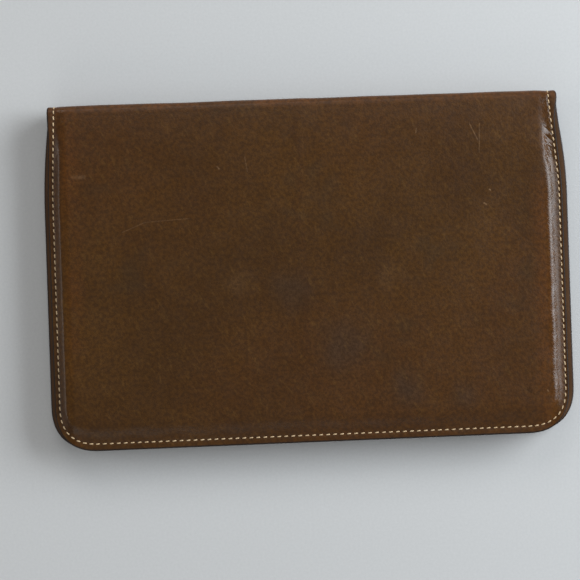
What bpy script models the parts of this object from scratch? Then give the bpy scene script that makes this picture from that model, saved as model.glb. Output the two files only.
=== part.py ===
"""Travel document organizer: a closed leather folio that opens like a book along its long side.

Frame: +X along the fold, +Y towards the fold, +Z up out of the front leaf. The closed folio lies on
its back leaf, and the origin is the centre of its footprint, on the surface it lies on.
Every leaf is described from its outer face inwards, so a depth of 0 is the outermost leather.
"""

import math

import bmesh
import bpy
from mathutils import Matrix, Vector

MM = 0.001
GAP = 0.3 * MM

# The closed folio
THICKNESS = 16 * MM
DEPTH = 150 * MM
BACK_HALF_WIDTH = 115.2 * MM
FRONT_HALF_WIDTH = 111.8 * MM
FRONT_LIP = 0.5 * MM  # the front leaf stops this far short of the back leaf
CORNER_RADIUS = 20 * MM
CORNER_SQUARENESS = 2.3  # 2 would be a round corner
FOLD_HALF_WIDTH = 111.0 * MM  # the leaves are pulled in to this where they meet the fold
TAPER_RUN = 40 * MM

# The layers of a leaf, from its outer face inwards
LEATHER = 1.4 * MM
BORDER_DEPTH = 2.4 * MM
BORDER = 3.4 * MM
SLOPE = 2.8 * MM
PAD_DEPTH = 1.7 * MM
PAD = 1.0 * MM
PAD_INSET = 7.4 * MM
BOARD_DEPTH = 3.0 * MM
BOARD = 0.8 * MM
BOARD_INSET = 6.8 * MM
LINING_DEPTH = 4.1 * MM
LINING = 0.8 * MM
POCKET_DEPTH = LINING_DEPTH + LINING + GAP

# The fold: two leather creases, one at each side of a stiffened spine
HINGE_Y = DEPTH / 2 - 1.75 * MM
HINGE_DEPTH = 3.25 * MM
LEAF_TOP = HINGE_Y - 0.35 * MM
SPINE_HALF_LENGTH = FOLD_HALF_WIDTH
SPINE_HEIGHT = THICKNESS - 10.6 * MM
SPINE_BOARD = 0.8 * MM
SPINE_LINING = 0.8 * MM

# Stitching
STITCH_INSET = 3.0 * MM
THREAD_RADIUS = 0.2 * MM

# Pockets
POCKET_HALF_WIDTH = 102 * MM
POCKET_BOTTOM = -66 * MM
POCKET_LEATHER = 0.8 * MM
POCKET_RIM = 3 * MM
POCKET_SLOPE = 3 * MM
POCKET_CORNER = 7 * MM
PASSPORT_LEFT = 4 * MM
PASSPORT_MOUTH = 34 * MM
PASSPORT_LIFT = 0.8 * MM
TICKET_MOUTH = 4 * MM
TICKET_LIFT = 1.95 * MM
ZIP_PANEL_BOTTOM = 12 * MM
ZIP_PANEL_TOP = 70 * MM
ZIP_PANEL_LIFT = 1.0 * MM

# Card slots: shingled strips whose mouths face the fold
CARD_SLOTS = 4
CARD_RIGHT = -4 * MM
CARD_LEATHER = 0.5 * MM
CARD_STEP = 15 * MM
CARD_STRIP = 24 * MM
CARD_RISE = 1.28 * MM
CARD_POCKET_MOUTH = PASSPORT_MOUTH - CARD_SLOTS * CARD_STEP
CARD_POCKET_BEND = CARD_POCKET_MOUTH - 18 * MM
CARD_POCKET_RISE = 1.6 * MM

# Identity window in the passport pocket
WINDOW_X = 53 * MM
WINDOW_Y = -8 * MM
WINDOW_SIZE = (64 * MM, 40 * MM)
WINDOW_CORNER = 3 * MM
FILM = 0.25 * MM
FILM_OVERLAP = 3 * MM
FILM_DEPTH = LINING_DEPTH + LINING + 0.55 * MM

# Snap fasteners of the ticket pocket
SNAP_X = {"left": -29.5 * MM, "right": 34.5 * MM}
SNAP_Y = -6 * MM
SNAP_HOLE = 1.6 * MM
POST_HOLE = 1.3 * MM
BOARD_HOLE = 4.6 * MM
TURN_STEPS = 20

# Zip
ZIP_Y = 48 * MM
ZIP_SLOT = (180 * MM, 11 * MM)
CHAIN = (172 * MM, 5 * MM, 1.6 * MM)
CHAIN_DEPTH = 5.3 * MM
TAPE = (188 * MM, 7.2 * MM, 0.5 * MM)
TAPE_DEPTH = 5.4 * MM
STOP = (2.0 * MM, 5 * MM, 1.4 * MM)
SLIDER_X = 78 * MM
SLIDER_PLATE = (9 * MM, 7.8 * MM, 0.8 * MM)
SLIDER_DEPTH = 7.2 * MM
SLIDER_FLANGE = (7 * MM, 0.9 * MM, 1.0 * MM)
PULL_DEPTH = 8.3 * MM
PULL_THICKNESS = 0.8 * MM
PULL_LENGTH = 19 * MM
PULL_WIDTH = 6 * MM
PULL_EYE = 1.7 * MM
SLIDER_POST = 1.3 * MM

COLLECTION = bpy.data.collections.new("travel_document_organizer")
CUTTERS = bpy.data.collections.new("cutters")


class Leaf:
    """One half of the folio, with its outline and the way from a depth to a height."""

    def __init__(self, name, half_width, bottom, hinge_z, mirrored):
        self.name = name
        self.half_width = half_width
        self.bottom = bottom
        self.mirrored = mirrored
        self.body = empty(name + "_leaf", (0, HINGE_Y, hinge_z))

    def height(self, depth):
        return THICKNESS - depth if self.mirrored else depth


def clear_scene():
    for obj in list(bpy.data.objects):
        bpy.data.objects.remove(obj)


def add_collections():
    for collection in (COLLECTION, CUTTERS):
        bpy.context.scene.collection.children.link(collection)
    CUTTERS.hide_render = True


def empty(name, location):
    """A body's own origin, on its joint's axis."""
    obj = bpy.data.objects.new(name, None)
    obj.empty_display_size = 0.01
    obj.location = location
    COLLECTION.objects.link(obj)
    return obj


def material(name, colour, roughness, metallic=0.0, alpha=1.0):
    mat = bpy.data.materials.new(name)
    mat.use_nodes = True
    shader = mat.node_tree.nodes["Principled BSDF"]
    shader.inputs["Base Color"].default_value = (*colour, 1)
    shader.inputs["Roughness"].default_value = roughness
    shader.inputs["Metallic"].default_value = metallic
    shader.inputs["Alpha"].default_value = alpha
    return mat


def finish(obj, body, mat):
    """Puts a piece in the model's collection, on its body and in its material."""
    COLLECTION.objects.link(obj)
    obj.data.materials.append(mat)
    bpy.context.view_layer.update()
    obj.parent = body
    obj.matrix_parent_inverse = body.matrix_world.inverted()
    return obj


# Outlines, as lists of (x, y)


def taper_at(leaf, y):
    """How far a leaf's side is pulled in at y."""
    run = min(max((LEAF_TOP - y) / TAPER_RUN, 0), 1)
    return (leaf.half_width - FOLD_HALF_WIDTH) * (1 - run * run * (3 - 2 * run))


def leaf_side(leaf, inset, top):
    """A leaf's right side, from the fold down and round the corner to the bottom edge."""
    corner_y = leaf.bottom + CORNER_RADIUS
    corner_x = leaf.half_width - CORNER_RADIUS
    radius = CORNER_RADIUS - inset
    heights = (top, top - 8 * MM, top - 16 * MM, top - 26 * MM, top - 40 * MM)
    points = [(leaf.half_width - inset - taper_at(leaf, y), y) for y in heights]
    power = 2 / CORNER_SQUARENESS
    for step in range(9):
        angle = math.radians(90 * step / 8)
        across = max(math.cos(angle), 0) ** power
        down = max(math.sin(angle), 0) ** power
        points.append((corner_x + radius * across, corner_y - radius * down))
    return points


def leaf_path(leaf, inset, top=LEAF_TOP):
    """The leaf's left side, bottom edge and right side as one open line."""
    right = leaf_side(leaf, inset, top)
    return [(-x, y) for x, y in right] + right[::-1]


def rounded_rectangle(centre, size, radius, steps=4):
    points = []
    for corner, (sx, sy) in enumerate(((1, 1), (-1, 1), (-1, -1), (1, -1))):
        for step in range(steps + 1):
            angle = math.radians(90 * (corner + step / steps))
            x = centre[0] + sx * (size[0] / 2 - radius) + radius * math.cos(angle)
            y = centre[1] + sy * (size[1] / 2 - radius) + radius * math.sin(angle)
            points.append((x, y))
    return points


def circle(centre, radius, steps=TURN_STEPS):
    turns = (math.tau * step / steps for step in range(steps))
    return [(centre[0] + radius * math.cos(a), centre[1] + radius * math.sin(a)) for a in turns]


# Solids


def curve_object(name, dimensions, lines, cyclic):
    data = bpy.data.curves.new(name, "CURVE")
    data.dimensions = dimensions
    for line in lines:
        spline = data.splines.new("POLY")
        spline.points.add(len(line) - 1)
        spline.use_cyclic_u = cyclic
        for point, place in zip(spline.points, line):
            point.co = (*place, 0, 1) if dimensions == "2D" else (*place, 1)
    return bpy.data.objects.new(name, data)


def sheet(name, leaf, mat, outlines, depth, thickness):
    """A flat sheet of a leaf: its outline first, then the outlines of its holes."""
    obj = curve_object(name, "2D", outlines, cyclic=True)
    obj.data.fill_mode = "BOTH"
    obj.data.extrude = thickness / 2
    obj.location.z = leaf.height(depth + thickness / 2)
    return finish(obj, leaf.body, mat)


def thread(name, leaf, mat):
    """The seam along a leaf's border, as one run of thread over the border's outer face."""
    height = leaf.height(BORDER_DEPTH - GAP - THREAD_RADIUS)
    line = [(x, y, height) for x, y in leaf_path(leaf, STITCH_INSET, LEAF_TOP - 1 * MM)]
    obj = curve_object(name, "3D", [line], cyclic=False)
    obj.data.bevel_depth = THREAD_RADIUS
    obj.data.bevel_resolution = 1
    obj.data.use_fill_caps = True
    return finish(obj, leaf.body, mat)


def mesh_object(name, bm):
    data = bpy.data.meshes.new(name)
    bm.to_mesh(data)
    bm.free()
    return bpy.data.objects.new(name, data)


def face_of(bm, outline, height):
    return bm.faces.new([bm.verts.new((x, y, height)) for x, y in outline])


def inset(bm, face, distance):
    """Leaves a rim round a face, which shrinks inwards."""
    face.normal_update()
    bmesh.ops.inset_region(
        bm, faces=[face], thickness=distance, use_boundary=True, use_even_offset=True
    )


def solidify(obj, thickness, outwards):
    modifier = obj.modifiers.new("thickness", "SOLIDIFY")
    modifier.thickness = thickness
    modifier.offset = 1 if outwards else -1
    modifier.use_even_offset = True


def mirror_to(leaf, bm):
    """Takes a surface drawn by depth to its own leaf."""
    if leaf.mirrored:
        bmesh.ops.scale(bm, vec=(1, 1, -1), verts=bm.verts)
        bmesh.ops.translate(bm, vec=(0, 0, THICKNESS), verts=bm.verts)
        bmesh.ops.reverse_faces(bm, faces=bm.faces)


def cover(name, leaf, mat):
    """The outer leather: a flat stitched border, a slope, and a raised flat middle."""
    bm = bmesh.new()
    face = face_of(bm, leaf_path(leaf, 0), BORDER_DEPTH)
    face.normal_update()
    if face.normal.z > 0:
        face.normal_flip()
    inset(bm, face, BORDER)
    inset(bm, face, SLOPE)
    bmesh.ops.translate(bm, vec=(0, 0, -BORDER_DEPTH), verts=face.verts)
    mirror_to(leaf, bm)
    obj = mesh_object(name, bm)
    solidify(obj, LEATHER, outwards=False)
    return finish(obj, leaf.body, mat)


def pocket(name, leaf, mat, low, high, lift, open_mouth):
    """A pocket's front panel: a sewn rim that rises to a flat middle, open along its mouth."""
    bm = bmesh.new()
    mouth = high[1] + (POCKET_RIM + POCKET_SLOPE + POCKET_CORNER if open_mouth else 0)
    centre = ((low[0] + high[0]) / 2, (low[1] + mouth) / 2)
    size = (high[0] - low[0], mouth - low[1])
    face = face_of(bm, rounded_rectangle(centre, size, POCKET_CORNER), POCKET_DEPTH)
    inset(bm, face, POCKET_RIM)
    inset(bm, face, POCKET_SLOPE)
    bmesh.ops.translate(bm, vec=(0, 0, lift), verts=face.verts)
    if open_mouth:
        bmesh.ops.bisect_plane(
            bm,
            geom=bm.verts[:] + bm.edges[:] + bm.faces[:],
            plane_co=(0, high[1], 0),
            plane_no=(0, 1, 0),
            clear_outer=True,
        )
    mirror_to(leaf, bm)
    obj = mesh_object(name, bm)
    solidify(obj, POCKET_LEATHER, outwards=True)
    return finish(obj, leaf.body, mat)


def bent_sheet(name, leaf, mat, low_x, high_x, profile, thickness):
    """A sheet that runs straight along X over a profile of (y, depth)."""
    bm = bmesh.new()
    verts = [bm.verts.new((low_x, y, depth)) for y, depth in profile]
    edges = [bm.edges.new(pair) for pair in zip(verts, verts[1:])]
    run = bmesh.ops.extrude_edge_only(bm, edges=edges)["geom"]
    moved = [item for item in run if isinstance(item, bmesh.types.BMVert)]
    bmesh.ops.translate(bm, vec=(high_x - low_x, 0, 0), verts=moved)
    bmesh.ops.recalc_face_normals(bm, faces=bm.faces)
    bm.faces.ensure_lookup_table()
    if bm.faces[0].normal.z < 0:
        bmesh.ops.reverse_faces(bm, faces=bm.faces)
    mirror_to(leaf, bm)
    obj = mesh_object(name, bm)
    solidify(obj, thickness, outwards=True)
    return finish(obj, leaf.body, mat)


def add_box(bm, centre, size):
    matrix = Matrix.Translation(centre) @ Matrix.Diagonal((*size, 1))
    bmesh.ops.create_cube(bm, size=1, matrix=matrix)


def block(name, body, mat, centre, size, bevel=0.0):
    bm = bmesh.new()
    add_box(bm, (0, 0, 0), size)
    obj = mesh_object(name, bm)
    obj.location = centre
    if bevel:
        modifier = obj.modifiers.new("rounded", "BEVEL")
        modifier.width = bevel
        modifier.segments = 2
    return finish(obj, body, mat)


def turned(name, body, mat, profile, location, closed):
    """A round piece from a profile of (radius, height), which runs down its outer side."""
    bm = bmesh.new()
    verts = [bm.verts.new((radius, 0, height)) for radius, height in profile]
    pairs = zip(verts, verts[1:] + verts[:1] if closed else verts[1:])
    for pair in pairs:
        bm.edges.new(pair)
    obj = mesh_object(name, bm)
    screw = obj.modifiers.new("turn", "SCREW")
    screw.steps = TURN_STEPS
    screw.render_steps = TURN_STEPS
    screw.use_merge_vertices = True
    screw.merge_threshold = 0.00001
    screw.use_smooth_shade = True
    obj.location = location
    return finish(obj, body, mat)


def cut(obj, name, bm):
    """Cuts a shape out of a piece."""
    cutter = mesh_object(name, bm)
    cutter.hide_render = True
    cutter.display_type = "WIRE"
    CUTTERS.objects.link(cutter)
    modifier = obj.modifiers.new(name, "BOOLEAN")
    modifier.operation = "DIFFERENCE"
    modifier.object = cutter


def prism(outline, low, high):
    """A closed upright prism over an outline."""
    bm = bmesh.new()
    face = face_of(bm, outline, low)
    run = bmesh.ops.extrude_face_region(bm, geom=[face])["geom"]
    top = [item for item in run if isinstance(item, bmesh.types.BMVert)]
    bmesh.ops.translate(bm, vec=(0, 0, high - low), verts=top)
    bmesh.ops.recalc_face_normals(bm, faces=bm.faces)
    return bm


# Sub-parts


def build_leaf(leaf, mats):
    """The padded leaf itself: cover, pad, board, lining and seam."""
    name = leaf.name
    board_holes = []
    lining_holes = []
    if leaf.mirrored:
        board_holes = [circle((x, SNAP_Y), BOARD_HOLE) for x in SNAP_X.values()]
        lining_holes = [circle((x, SNAP_Y), POST_HOLE) for x in SNAP_X.values()]
    pad = leaf_path(leaf, PAD_INSET, LEAF_TOP - PAD_INSET)
    board = leaf_path(leaf, BOARD_INSET, LEAF_TOP - BOARD_INSET)
    cover(name + "_cover", leaf, mats["cover"])
    sheet(name + "_pad", leaf, mats["pad"], [pad], PAD_DEPTH, PAD)
    sheet(name + "_board", leaf, mats["board"], [board, *board_holes], BOARD_DEPTH, BOARD)
    lining = [leaf_path(leaf, 0), *lining_holes]
    sheet(name + "_lining", leaf, mats["lining"], lining, LINING_DEPTH, LINING)
    thread(name + "_stitching", leaf, mats["thread"])


def build_card_slots(leaf, mats):
    """Shingled slots, and the long card pocket that overlaps the last of them."""
    low_x = -POCKET_HALF_WIDTH
    for slot in range(CARD_SLOTS):
        mouth = PASSPORT_MOUTH - slot * CARD_STEP
        profile = [(mouth - CARD_STRIP, POCKET_DEPTH), (mouth, POCKET_DEPTH + CARD_RISE)]
        name = f"card_slot_{slot + 1}"
        bent_sheet(name, leaf, mats["pocket"], low_x, CARD_RIGHT, profile, CARD_LEATHER)
    profile = [
        (POCKET_BOTTOM, POCKET_DEPTH),
        (CARD_POCKET_BEND, POCKET_DEPTH),
        (CARD_POCKET_MOUTH, POCKET_DEPTH + CARD_POCKET_RISE),
    ]
    bent_sheet("card_pocket", leaf, mats["pocket"], low_x, CARD_RIGHT, profile, CARD_LEATHER)


def build_passport_pocket(leaf, mats):
    low = (PASSPORT_LEFT, POCKET_BOTTOM)
    high = (POCKET_HALF_WIDTH, PASSPORT_MOUTH)
    panel = pocket("passport_pocket", leaf, mats["pocket"], low, high, PASSPORT_LIFT, True)
    centre = (WINDOW_X, WINDOW_Y)
    opening = rounded_rectangle(centre, WINDOW_SIZE, WINDOW_CORNER)
    cut(panel, "window_cutter", prism(opening, POCKET_DEPTH - GAP, POCKET_DEPTH + 4 * MM))
    film_size = [side + 2 * FILM_OVERLAP for side in WINDOW_SIZE]
    film = rounded_rectangle(centre, film_size, WINDOW_CORNER)
    sheet("id_window", leaf, mats["film"], [film], FILM_DEPTH, FILM)


def build_ticket_pocket(leaf, mats):
    low = (-POCKET_HALF_WIDTH, POCKET_BOTTOM)
    high = (POCKET_HALF_WIDTH, TICKET_MOUTH)
    panel = pocket("ticket_pocket", leaf, mats["pocket"], low, high, TICKET_LIFT, True)
    for side, x in SNAP_X.items():
        hole = prism(circle((x, SNAP_Y), SNAP_HOLE), leaf.height(10 * MM), leaf.height(5 * MM))
        cut(panel, f"snap_hole_{side}", hole)
        build_snap(side, x, leaf, mats["brass"])


def build_snap(side, x, leaf, mat):
    """A four-part snap: cap and socket on the pocket, stud and post on the leaf."""

    def place(name, depth, profile, closed=False):
        location = (x, SNAP_Y, leaf.height(depth))
        scaled = [(radius * MM, height * MM) for radius, height in profile]
        turned(f"snap_{name}_{side}", leaf.body, mat, scaled, location, closed)

    place("post", 3.75 * MM, [(0, 0.65), (4.1, 0.65), (4.1, 0), (0.9, 0), (0.9, -1.1), (0, -1.1)])
    stud = [(0, 0.4), (4.4, 0.4), (4.4, 0), (1.3, 0), (1.3, -0.5), (1.7, -0.8), (1.4, -1.2), (0, -1.2)]
    place("stud", 5.6 * MM, stud)
    socket = [(4.4, 0.9), (4.4, 0.2), (3.6, 0), (2.1, 0), (2.1, 0.9)]
    place("socket", 6.85 * MM, socket, closed=True)
    cap = [(0, 0.9), (1.2, 0.9), (1.2, 0), (5.6, 0), (5.6, -0.25), (4.4, -0.5), (2.4, -0.6), (0, -0.6)]
    place("cap", 8.25 * MM, cap)


def build_zip_pocket(leaf, mats):
    """The zipped pocket's panel with its slot, and the zip that closes it."""
    low = (-POCKET_HALF_WIDTH, ZIP_PANEL_BOTTOM)
    high = (POCKET_HALF_WIDTH, ZIP_PANEL_TOP)
    panel = pocket("zip_pocket", leaf, mats["pocket"], low, high, ZIP_PANEL_LIFT, False)
    slot = rounded_rectangle((0, ZIP_Y), ZIP_SLOT, 2 * MM)
    cut(panel, "zip_slot_cutter", prism(slot, leaf.height(10 * MM), leaf.height(5 * MM)))
    chain_place = (0, ZIP_Y, leaf.height(CHAIN_DEPTH + CHAIN[2] / 2))
    block("zip_chain", leaf.body, mats["brass"], chain_place, CHAIN)
    for name, side in (("upper", 1), ("lower", -1)):
        y = ZIP_Y + side * (CHAIN[1] / 2 + GAP + TAPE[1] / 2)
        place = (0, y, leaf.height(TAPE_DEPTH + TAPE[2] / 2))
        block(f"zip_tape_{name}", leaf.body, mats["tape"], place, TAPE)
    for name, side in (("left", -1), ("right", 1)):
        x = side * (CHAIN[0] / 2 + GAP + STOP[0] / 2)
        place = (x, ZIP_Y, leaf.height(CHAIN_DEPTH + GAP + STOP[2] / 2))
        block(f"zip_stop_{name}", leaf.body, mats["brass"], place, STOP)


def build_slider(leaf, mats):
    """The zip's slider: a plate that straddles the chain, with a post for its pull."""
    plate_half = SLIDER_PLATE[2] / 2
    flange_y = SLIDER_PLATE[1] / 2 - SLIDER_FLANGE[1] / 2
    flange_z = plate_half + SLIDER_FLANGE[2] / 2
    bm = bmesh.new()
    add_box(bm, (0, 0, 0), SLIDER_PLATE)
    obj = mesh_object("zip_slider", bm)
    obj.location = (SLIDER_X, ZIP_Y, leaf.height(SLIDER_DEPTH + plate_half))
    for side in (-1, 1):
        arm = bmesh.new()
        overlap = 0.2 * MM
        size = (SLIDER_FLANGE[0], SLIDER_FLANGE[1], SLIDER_FLANGE[2] + overlap)
        add_box(arm, Vector((0, side * flange_y, flange_z - overlap / 2)) + obj.location, size)
        join(obj, f"slider_flange_{side + 1}", arm)
    post = bmesh.new()
    post_height = 1.9 * MM
    centre = Matrix.Translation(obj.location - Vector((0, 0, plate_half + post_height / 2 - 0.1 * MM)))
    bmesh.ops.create_cone(
        post,
        cap_ends=True,
        segments=TURN_STEPS,
        radius1=SLIDER_POST,
        radius2=SLIDER_POST,
        depth=post_height,
        matrix=centre,
    )
    join(obj, "slider_post", post)
    return finish(obj, leaf.body, mats["brass"])


def join(obj, name, bm):
    """Joins a shape to a piece."""
    cut(obj, name, bm)
    obj.modifiers[name].operation = "UNION"


def build_pull(leaf, mats, slider_place):
    """The zip's pull: a flat tab with an eye that turns on the slider's post."""
    half = PULL_WIDTH / 2
    outline = [(half * math.cos(a), half * math.sin(a)) for a in half_turn(-90)]
    end = -PULL_LENGTH
    outline += [(end + half * math.cos(a), half * math.sin(a)) for a in half_turn(90)]
    obj = curve_object("zip_pull", "2D", [outline, circle((0, 0), PULL_EYE)], cyclic=True)
    obj.data.fill_mode = "BOTH"
    obj.data.extrude = PULL_THICKNESS / 2
    depth = PULL_DEPTH + PULL_THICKNESS / 2
    obj.location = (slider_place.x, slider_place.y, leaf.height(depth))
    return finish(obj, leaf.body, mats["brass"])


def half_turn(start, steps=8):
    return [math.radians(start + 180 * step / steps) for step in range(steps + 1)]


def build_spine(body, mats):
    """The stiffened strip between the two creases of the fold."""
    layers = (
        ("spine_cover", mats["cover"], 0, LEATHER),
        ("spine_board", mats["board"], LEATHER + GAP, SPINE_BOARD),
        ("spine_lining", mats["lining"], LEATHER + SPINE_BOARD + 2 * GAP, SPINE_LINING),
    )
    for name, mat, inwards, thickness in layers:
        y = DEPTH / 2 - inwards - thickness / 2
        size = (2 * SPINE_HALF_LENGTH, thickness, SPINE_HEIGHT)
        block(name, body, mat, (0, y, THICKNESS / 2), size, bevel=0.25 * MM)


def build_materials():
    return {
        "cover": material("chestnut_leather", (0.085, 0.035, 0.011), 0.42),
        "lining": material("tan_lining_leather", (0.20, 0.085, 0.03), 0.6),
        "pocket": material("tan_pocket_leather", (0.17, 0.07, 0.024), 0.5),
        "pad": material("foam", (0.72, 0.70, 0.62), 0.9),
        "board": material("paperboard", (0.42, 0.37, 0.30), 0.9),
        "thread": material("ecru_thread", (0.66, 0.55, 0.38), 0.75),
        "tape": material("woven_tape", (0.09, 0.05, 0.03), 0.85),
        "film": material("clear_vinyl", (0.80, 0.82, 0.80), 0.15, alpha=0.4),
        "brass": material("brass", (0.62, 0.43, 0.16), 0.3, metallic=1.0),
    }


def main():
    clear_scene()
    add_collections()
    mats = build_materials()
    bottom = -DEPTH / 2
    back = Leaf("back", BACK_HALF_WIDTH, bottom, HINGE_DEPTH, mirrored=False)
    front_hinge_z = THICKNESS - HINGE_DEPTH
    front = Leaf("front", FRONT_HALF_WIDTH, bottom + FRONT_LIP, front_hinge_z, mirrored=True)
    spine = empty("spine", (0, HINGE_Y, HINGE_DEPTH))
    for leaf in (back, front):
        build_leaf(leaf, mats)
    build_card_slots(back, mats)
    build_passport_pocket(back, mats)
    build_ticket_pocket(front, mats)
    build_zip_pocket(front, mats)
    slider = build_slider(front, mats)
    build_pull(front, mats, slider.location)
    build_spine(spine, mats)


main()
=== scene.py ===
"""The looks of the travel document organizer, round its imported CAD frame.

The outer leather, the lining and the seams are drawn in leaf coordinates: x along the fold, and t, the
distance up the leaf from its middle, which carries on round the fold to the middle of the spine.
"""

import math

import bpy
import numpy as np
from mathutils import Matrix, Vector
from mathutils.geometry import delaunay_2d_cdt


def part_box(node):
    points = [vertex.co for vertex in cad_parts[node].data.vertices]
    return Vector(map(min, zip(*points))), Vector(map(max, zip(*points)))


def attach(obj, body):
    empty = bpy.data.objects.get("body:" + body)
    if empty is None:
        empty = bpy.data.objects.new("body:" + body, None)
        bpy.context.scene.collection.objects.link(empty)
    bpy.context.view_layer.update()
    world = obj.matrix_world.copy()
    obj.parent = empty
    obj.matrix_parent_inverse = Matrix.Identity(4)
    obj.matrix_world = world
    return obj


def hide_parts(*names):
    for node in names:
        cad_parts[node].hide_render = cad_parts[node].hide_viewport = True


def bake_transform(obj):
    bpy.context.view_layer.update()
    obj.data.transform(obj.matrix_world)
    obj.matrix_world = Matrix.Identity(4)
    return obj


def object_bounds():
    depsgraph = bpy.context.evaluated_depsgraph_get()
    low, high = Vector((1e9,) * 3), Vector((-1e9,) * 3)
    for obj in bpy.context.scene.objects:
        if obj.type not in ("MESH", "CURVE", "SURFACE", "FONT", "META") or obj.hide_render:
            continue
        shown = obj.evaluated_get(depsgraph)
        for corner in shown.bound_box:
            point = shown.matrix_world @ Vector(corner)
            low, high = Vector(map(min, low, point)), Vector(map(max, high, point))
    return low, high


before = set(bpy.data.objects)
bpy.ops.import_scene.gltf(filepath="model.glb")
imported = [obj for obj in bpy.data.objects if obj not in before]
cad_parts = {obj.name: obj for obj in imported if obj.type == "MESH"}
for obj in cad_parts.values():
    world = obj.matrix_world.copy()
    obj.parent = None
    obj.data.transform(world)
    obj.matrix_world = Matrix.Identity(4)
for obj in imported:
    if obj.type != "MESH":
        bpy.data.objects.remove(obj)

MM = 0.001
CAD_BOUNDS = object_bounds()
THICKNESS = CAD_BOUNDS[1].z
HALF_DEPTH = CAD_BOUNDS[1].y
SPINE_MIDDLE = THICKNESS / 2

# Camera, from the photograph's viewpoint: straight above, a little off the middle
CAMERA_HEIGHT = 0.72
VIEW_WIDTH = 0.2512
CAMERA_X = -8.3 * MM
CAMERA_Y = -8.4 * MM
CAMERA_ROLL = math.radians(-1.95)

# The seam line, in leaf coordinates
SEAM_BOTTOM = -HALF_DEPTH + 3.2 * MM
SEAM_RADIUS = 17.4 * MM
SEAM_SQUARENESS = 2.6  # 2 would make each corner a part of a circle
OUT_OF_SQUARE = 0.0075  # how much the lower edge rises from left to right
OUT_OF_SQUARE_AT = 70 * MM  # how far below the leaf's middle it rises that much
EDGE_ROOM = 4 * MM  # how far the sections run on past the leaf's lower edge, which isn't square
PULLED_IN_OVER = 46 * MM  # how far from the fold the seams start to come in
FOLD_MARGIN = (58 * MM, 75 * MM)  # where the margins turn into those at the fold
WORN_FROM = 71 * MM  # where the edges start to be worn away, towards the fold
SIDE_STITCHES = 49
CORNER_STITCHES = 10
BOTTOM_STITCHES = 61
POINTS_PER_STITCH = 4
STITCH_SLANT = 0.12
STITCH_LIFT = 0.10 * MM

# The rings of a leaf's sheet, from its rim inwards
RIM_SHARES = (1, 0.985, 0.94, 0.86, 0.72, 0.5, 0.3, 0.12, 0)  # of the leather outside the seam
INSIDE_STEPS = (0.3, 0.6, 1.0, 1.5, 2.1, 2.8, 3.5, 4.3, 5.2, 6.4, 8.0)  # millimetres inside it
COARSE_STEPS = (10, 12, 14, 16, SEAM_RADIUS / MM)  # the same, with every other point

# The dark paint on cut edges: how far it comes over onto the face, and how softly. The leaves' band is
# wider, so that it is also painted shadow along the gap at their edges
LEAF_PAINT_AND_SHADOW = (0.62 * MM, 0.25 * MM)
PANEL_PAINT = (0.28 * MM, 0.15 * MM)

# The outer leather
LEATHER = 1.3 * MM
BORDER_DROP = 2.4 * MM
BORDER_DROP_AT_FOLD = 0.15 * MM
BORDER_RISES = (42 * MM, 71 * MM)  # where the border comes up to that
THREAD_PULL = 0.16 * MM
HOLE_DEPTH = 0.30 * MM
PUCKER = 0.10 * MM
FOLD_DROP = 2.2 * MM
FOLD_START = 50 * MM
FOLD_RADIUS = 3.5 * MM

# The lining
LINING_DEPTH = 4.9 * MM
LINING = 1.15 * MM
LINING_FOLD_RADIUS = 3.0 * MM
LINING_SPINE_Y = HALF_DEPTH - 3.6 * MM
LINING_FACE = 4.92 * MM

# What is sewn to the lining
POCKET_DEPTH = 5.2 * MM
POCKET_LEATHER = 0.8 * MM
POCKET_GAP = 0.28 * MM
CARD_LEATHER = 0.5 * MM
SEWN_IN = 1.9 * MM  # how far each row of stitches lies inside its panel's edge
MOUTH_CREASE = 2.2 * MM  # how far the line pressed along a pocket's mouth lies below it
CARD_CREASE = 1.6 * MM
PANEL_STITCH_PITCH = 2.7 * MM
PANEL_RINGS = (0.06, 0.16, 0.3, 0.9, 1.5, 1.9, 2.3, 3.2, 4.4, 6.0)  # millimetres from its edges
TAPE_FACE = 5.85 * MM
FILM_FACE = 5.70 * MM
TOOTH_PITCH = 1.15 * MM
SIDES = ("left", "right")

# What lies between leather and lining: inset from the seam, how near it comes to the fold, depth of
# its inner face, thickness and roundness of its edge, in millimetres, and its slot
CORE = {
    "pad": (5.5, 58, 2.75, 1.15, 0.5, "pad_foam"),
    "board": (4.6, 65, 3.62, 0.75, 0.15, "stiffener_board"),
}

# Lights that reach the folio from all round: place, size, power and tint
LIGHTS = {
    "window": ((1.0, 0.40, 0.62), (1.0, 0.66), 17, (0.90, 0.95, 1.0)),
    "low_window": ((1.05, 0.10, 0.36), (0.9, 0.22), 4.6, (0.88, 0.94, 1.0)),
    "room_behind": ((-0.2, 1.3, 0.9), (1.0, 0.6), 5, (1, 0.98, 0.96)),
    "room_before": ((-0.3, -1.1, 0.5), (0.9, 0.5), 2.5, (1, 0.97, 0.93)),
    "room_left": ((-1.0, 0.05, 0.42), (0.9, 0.3), 2.4, (1, 0.98, 0.96)),
}
FLOOR_HALF = 3.0
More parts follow.
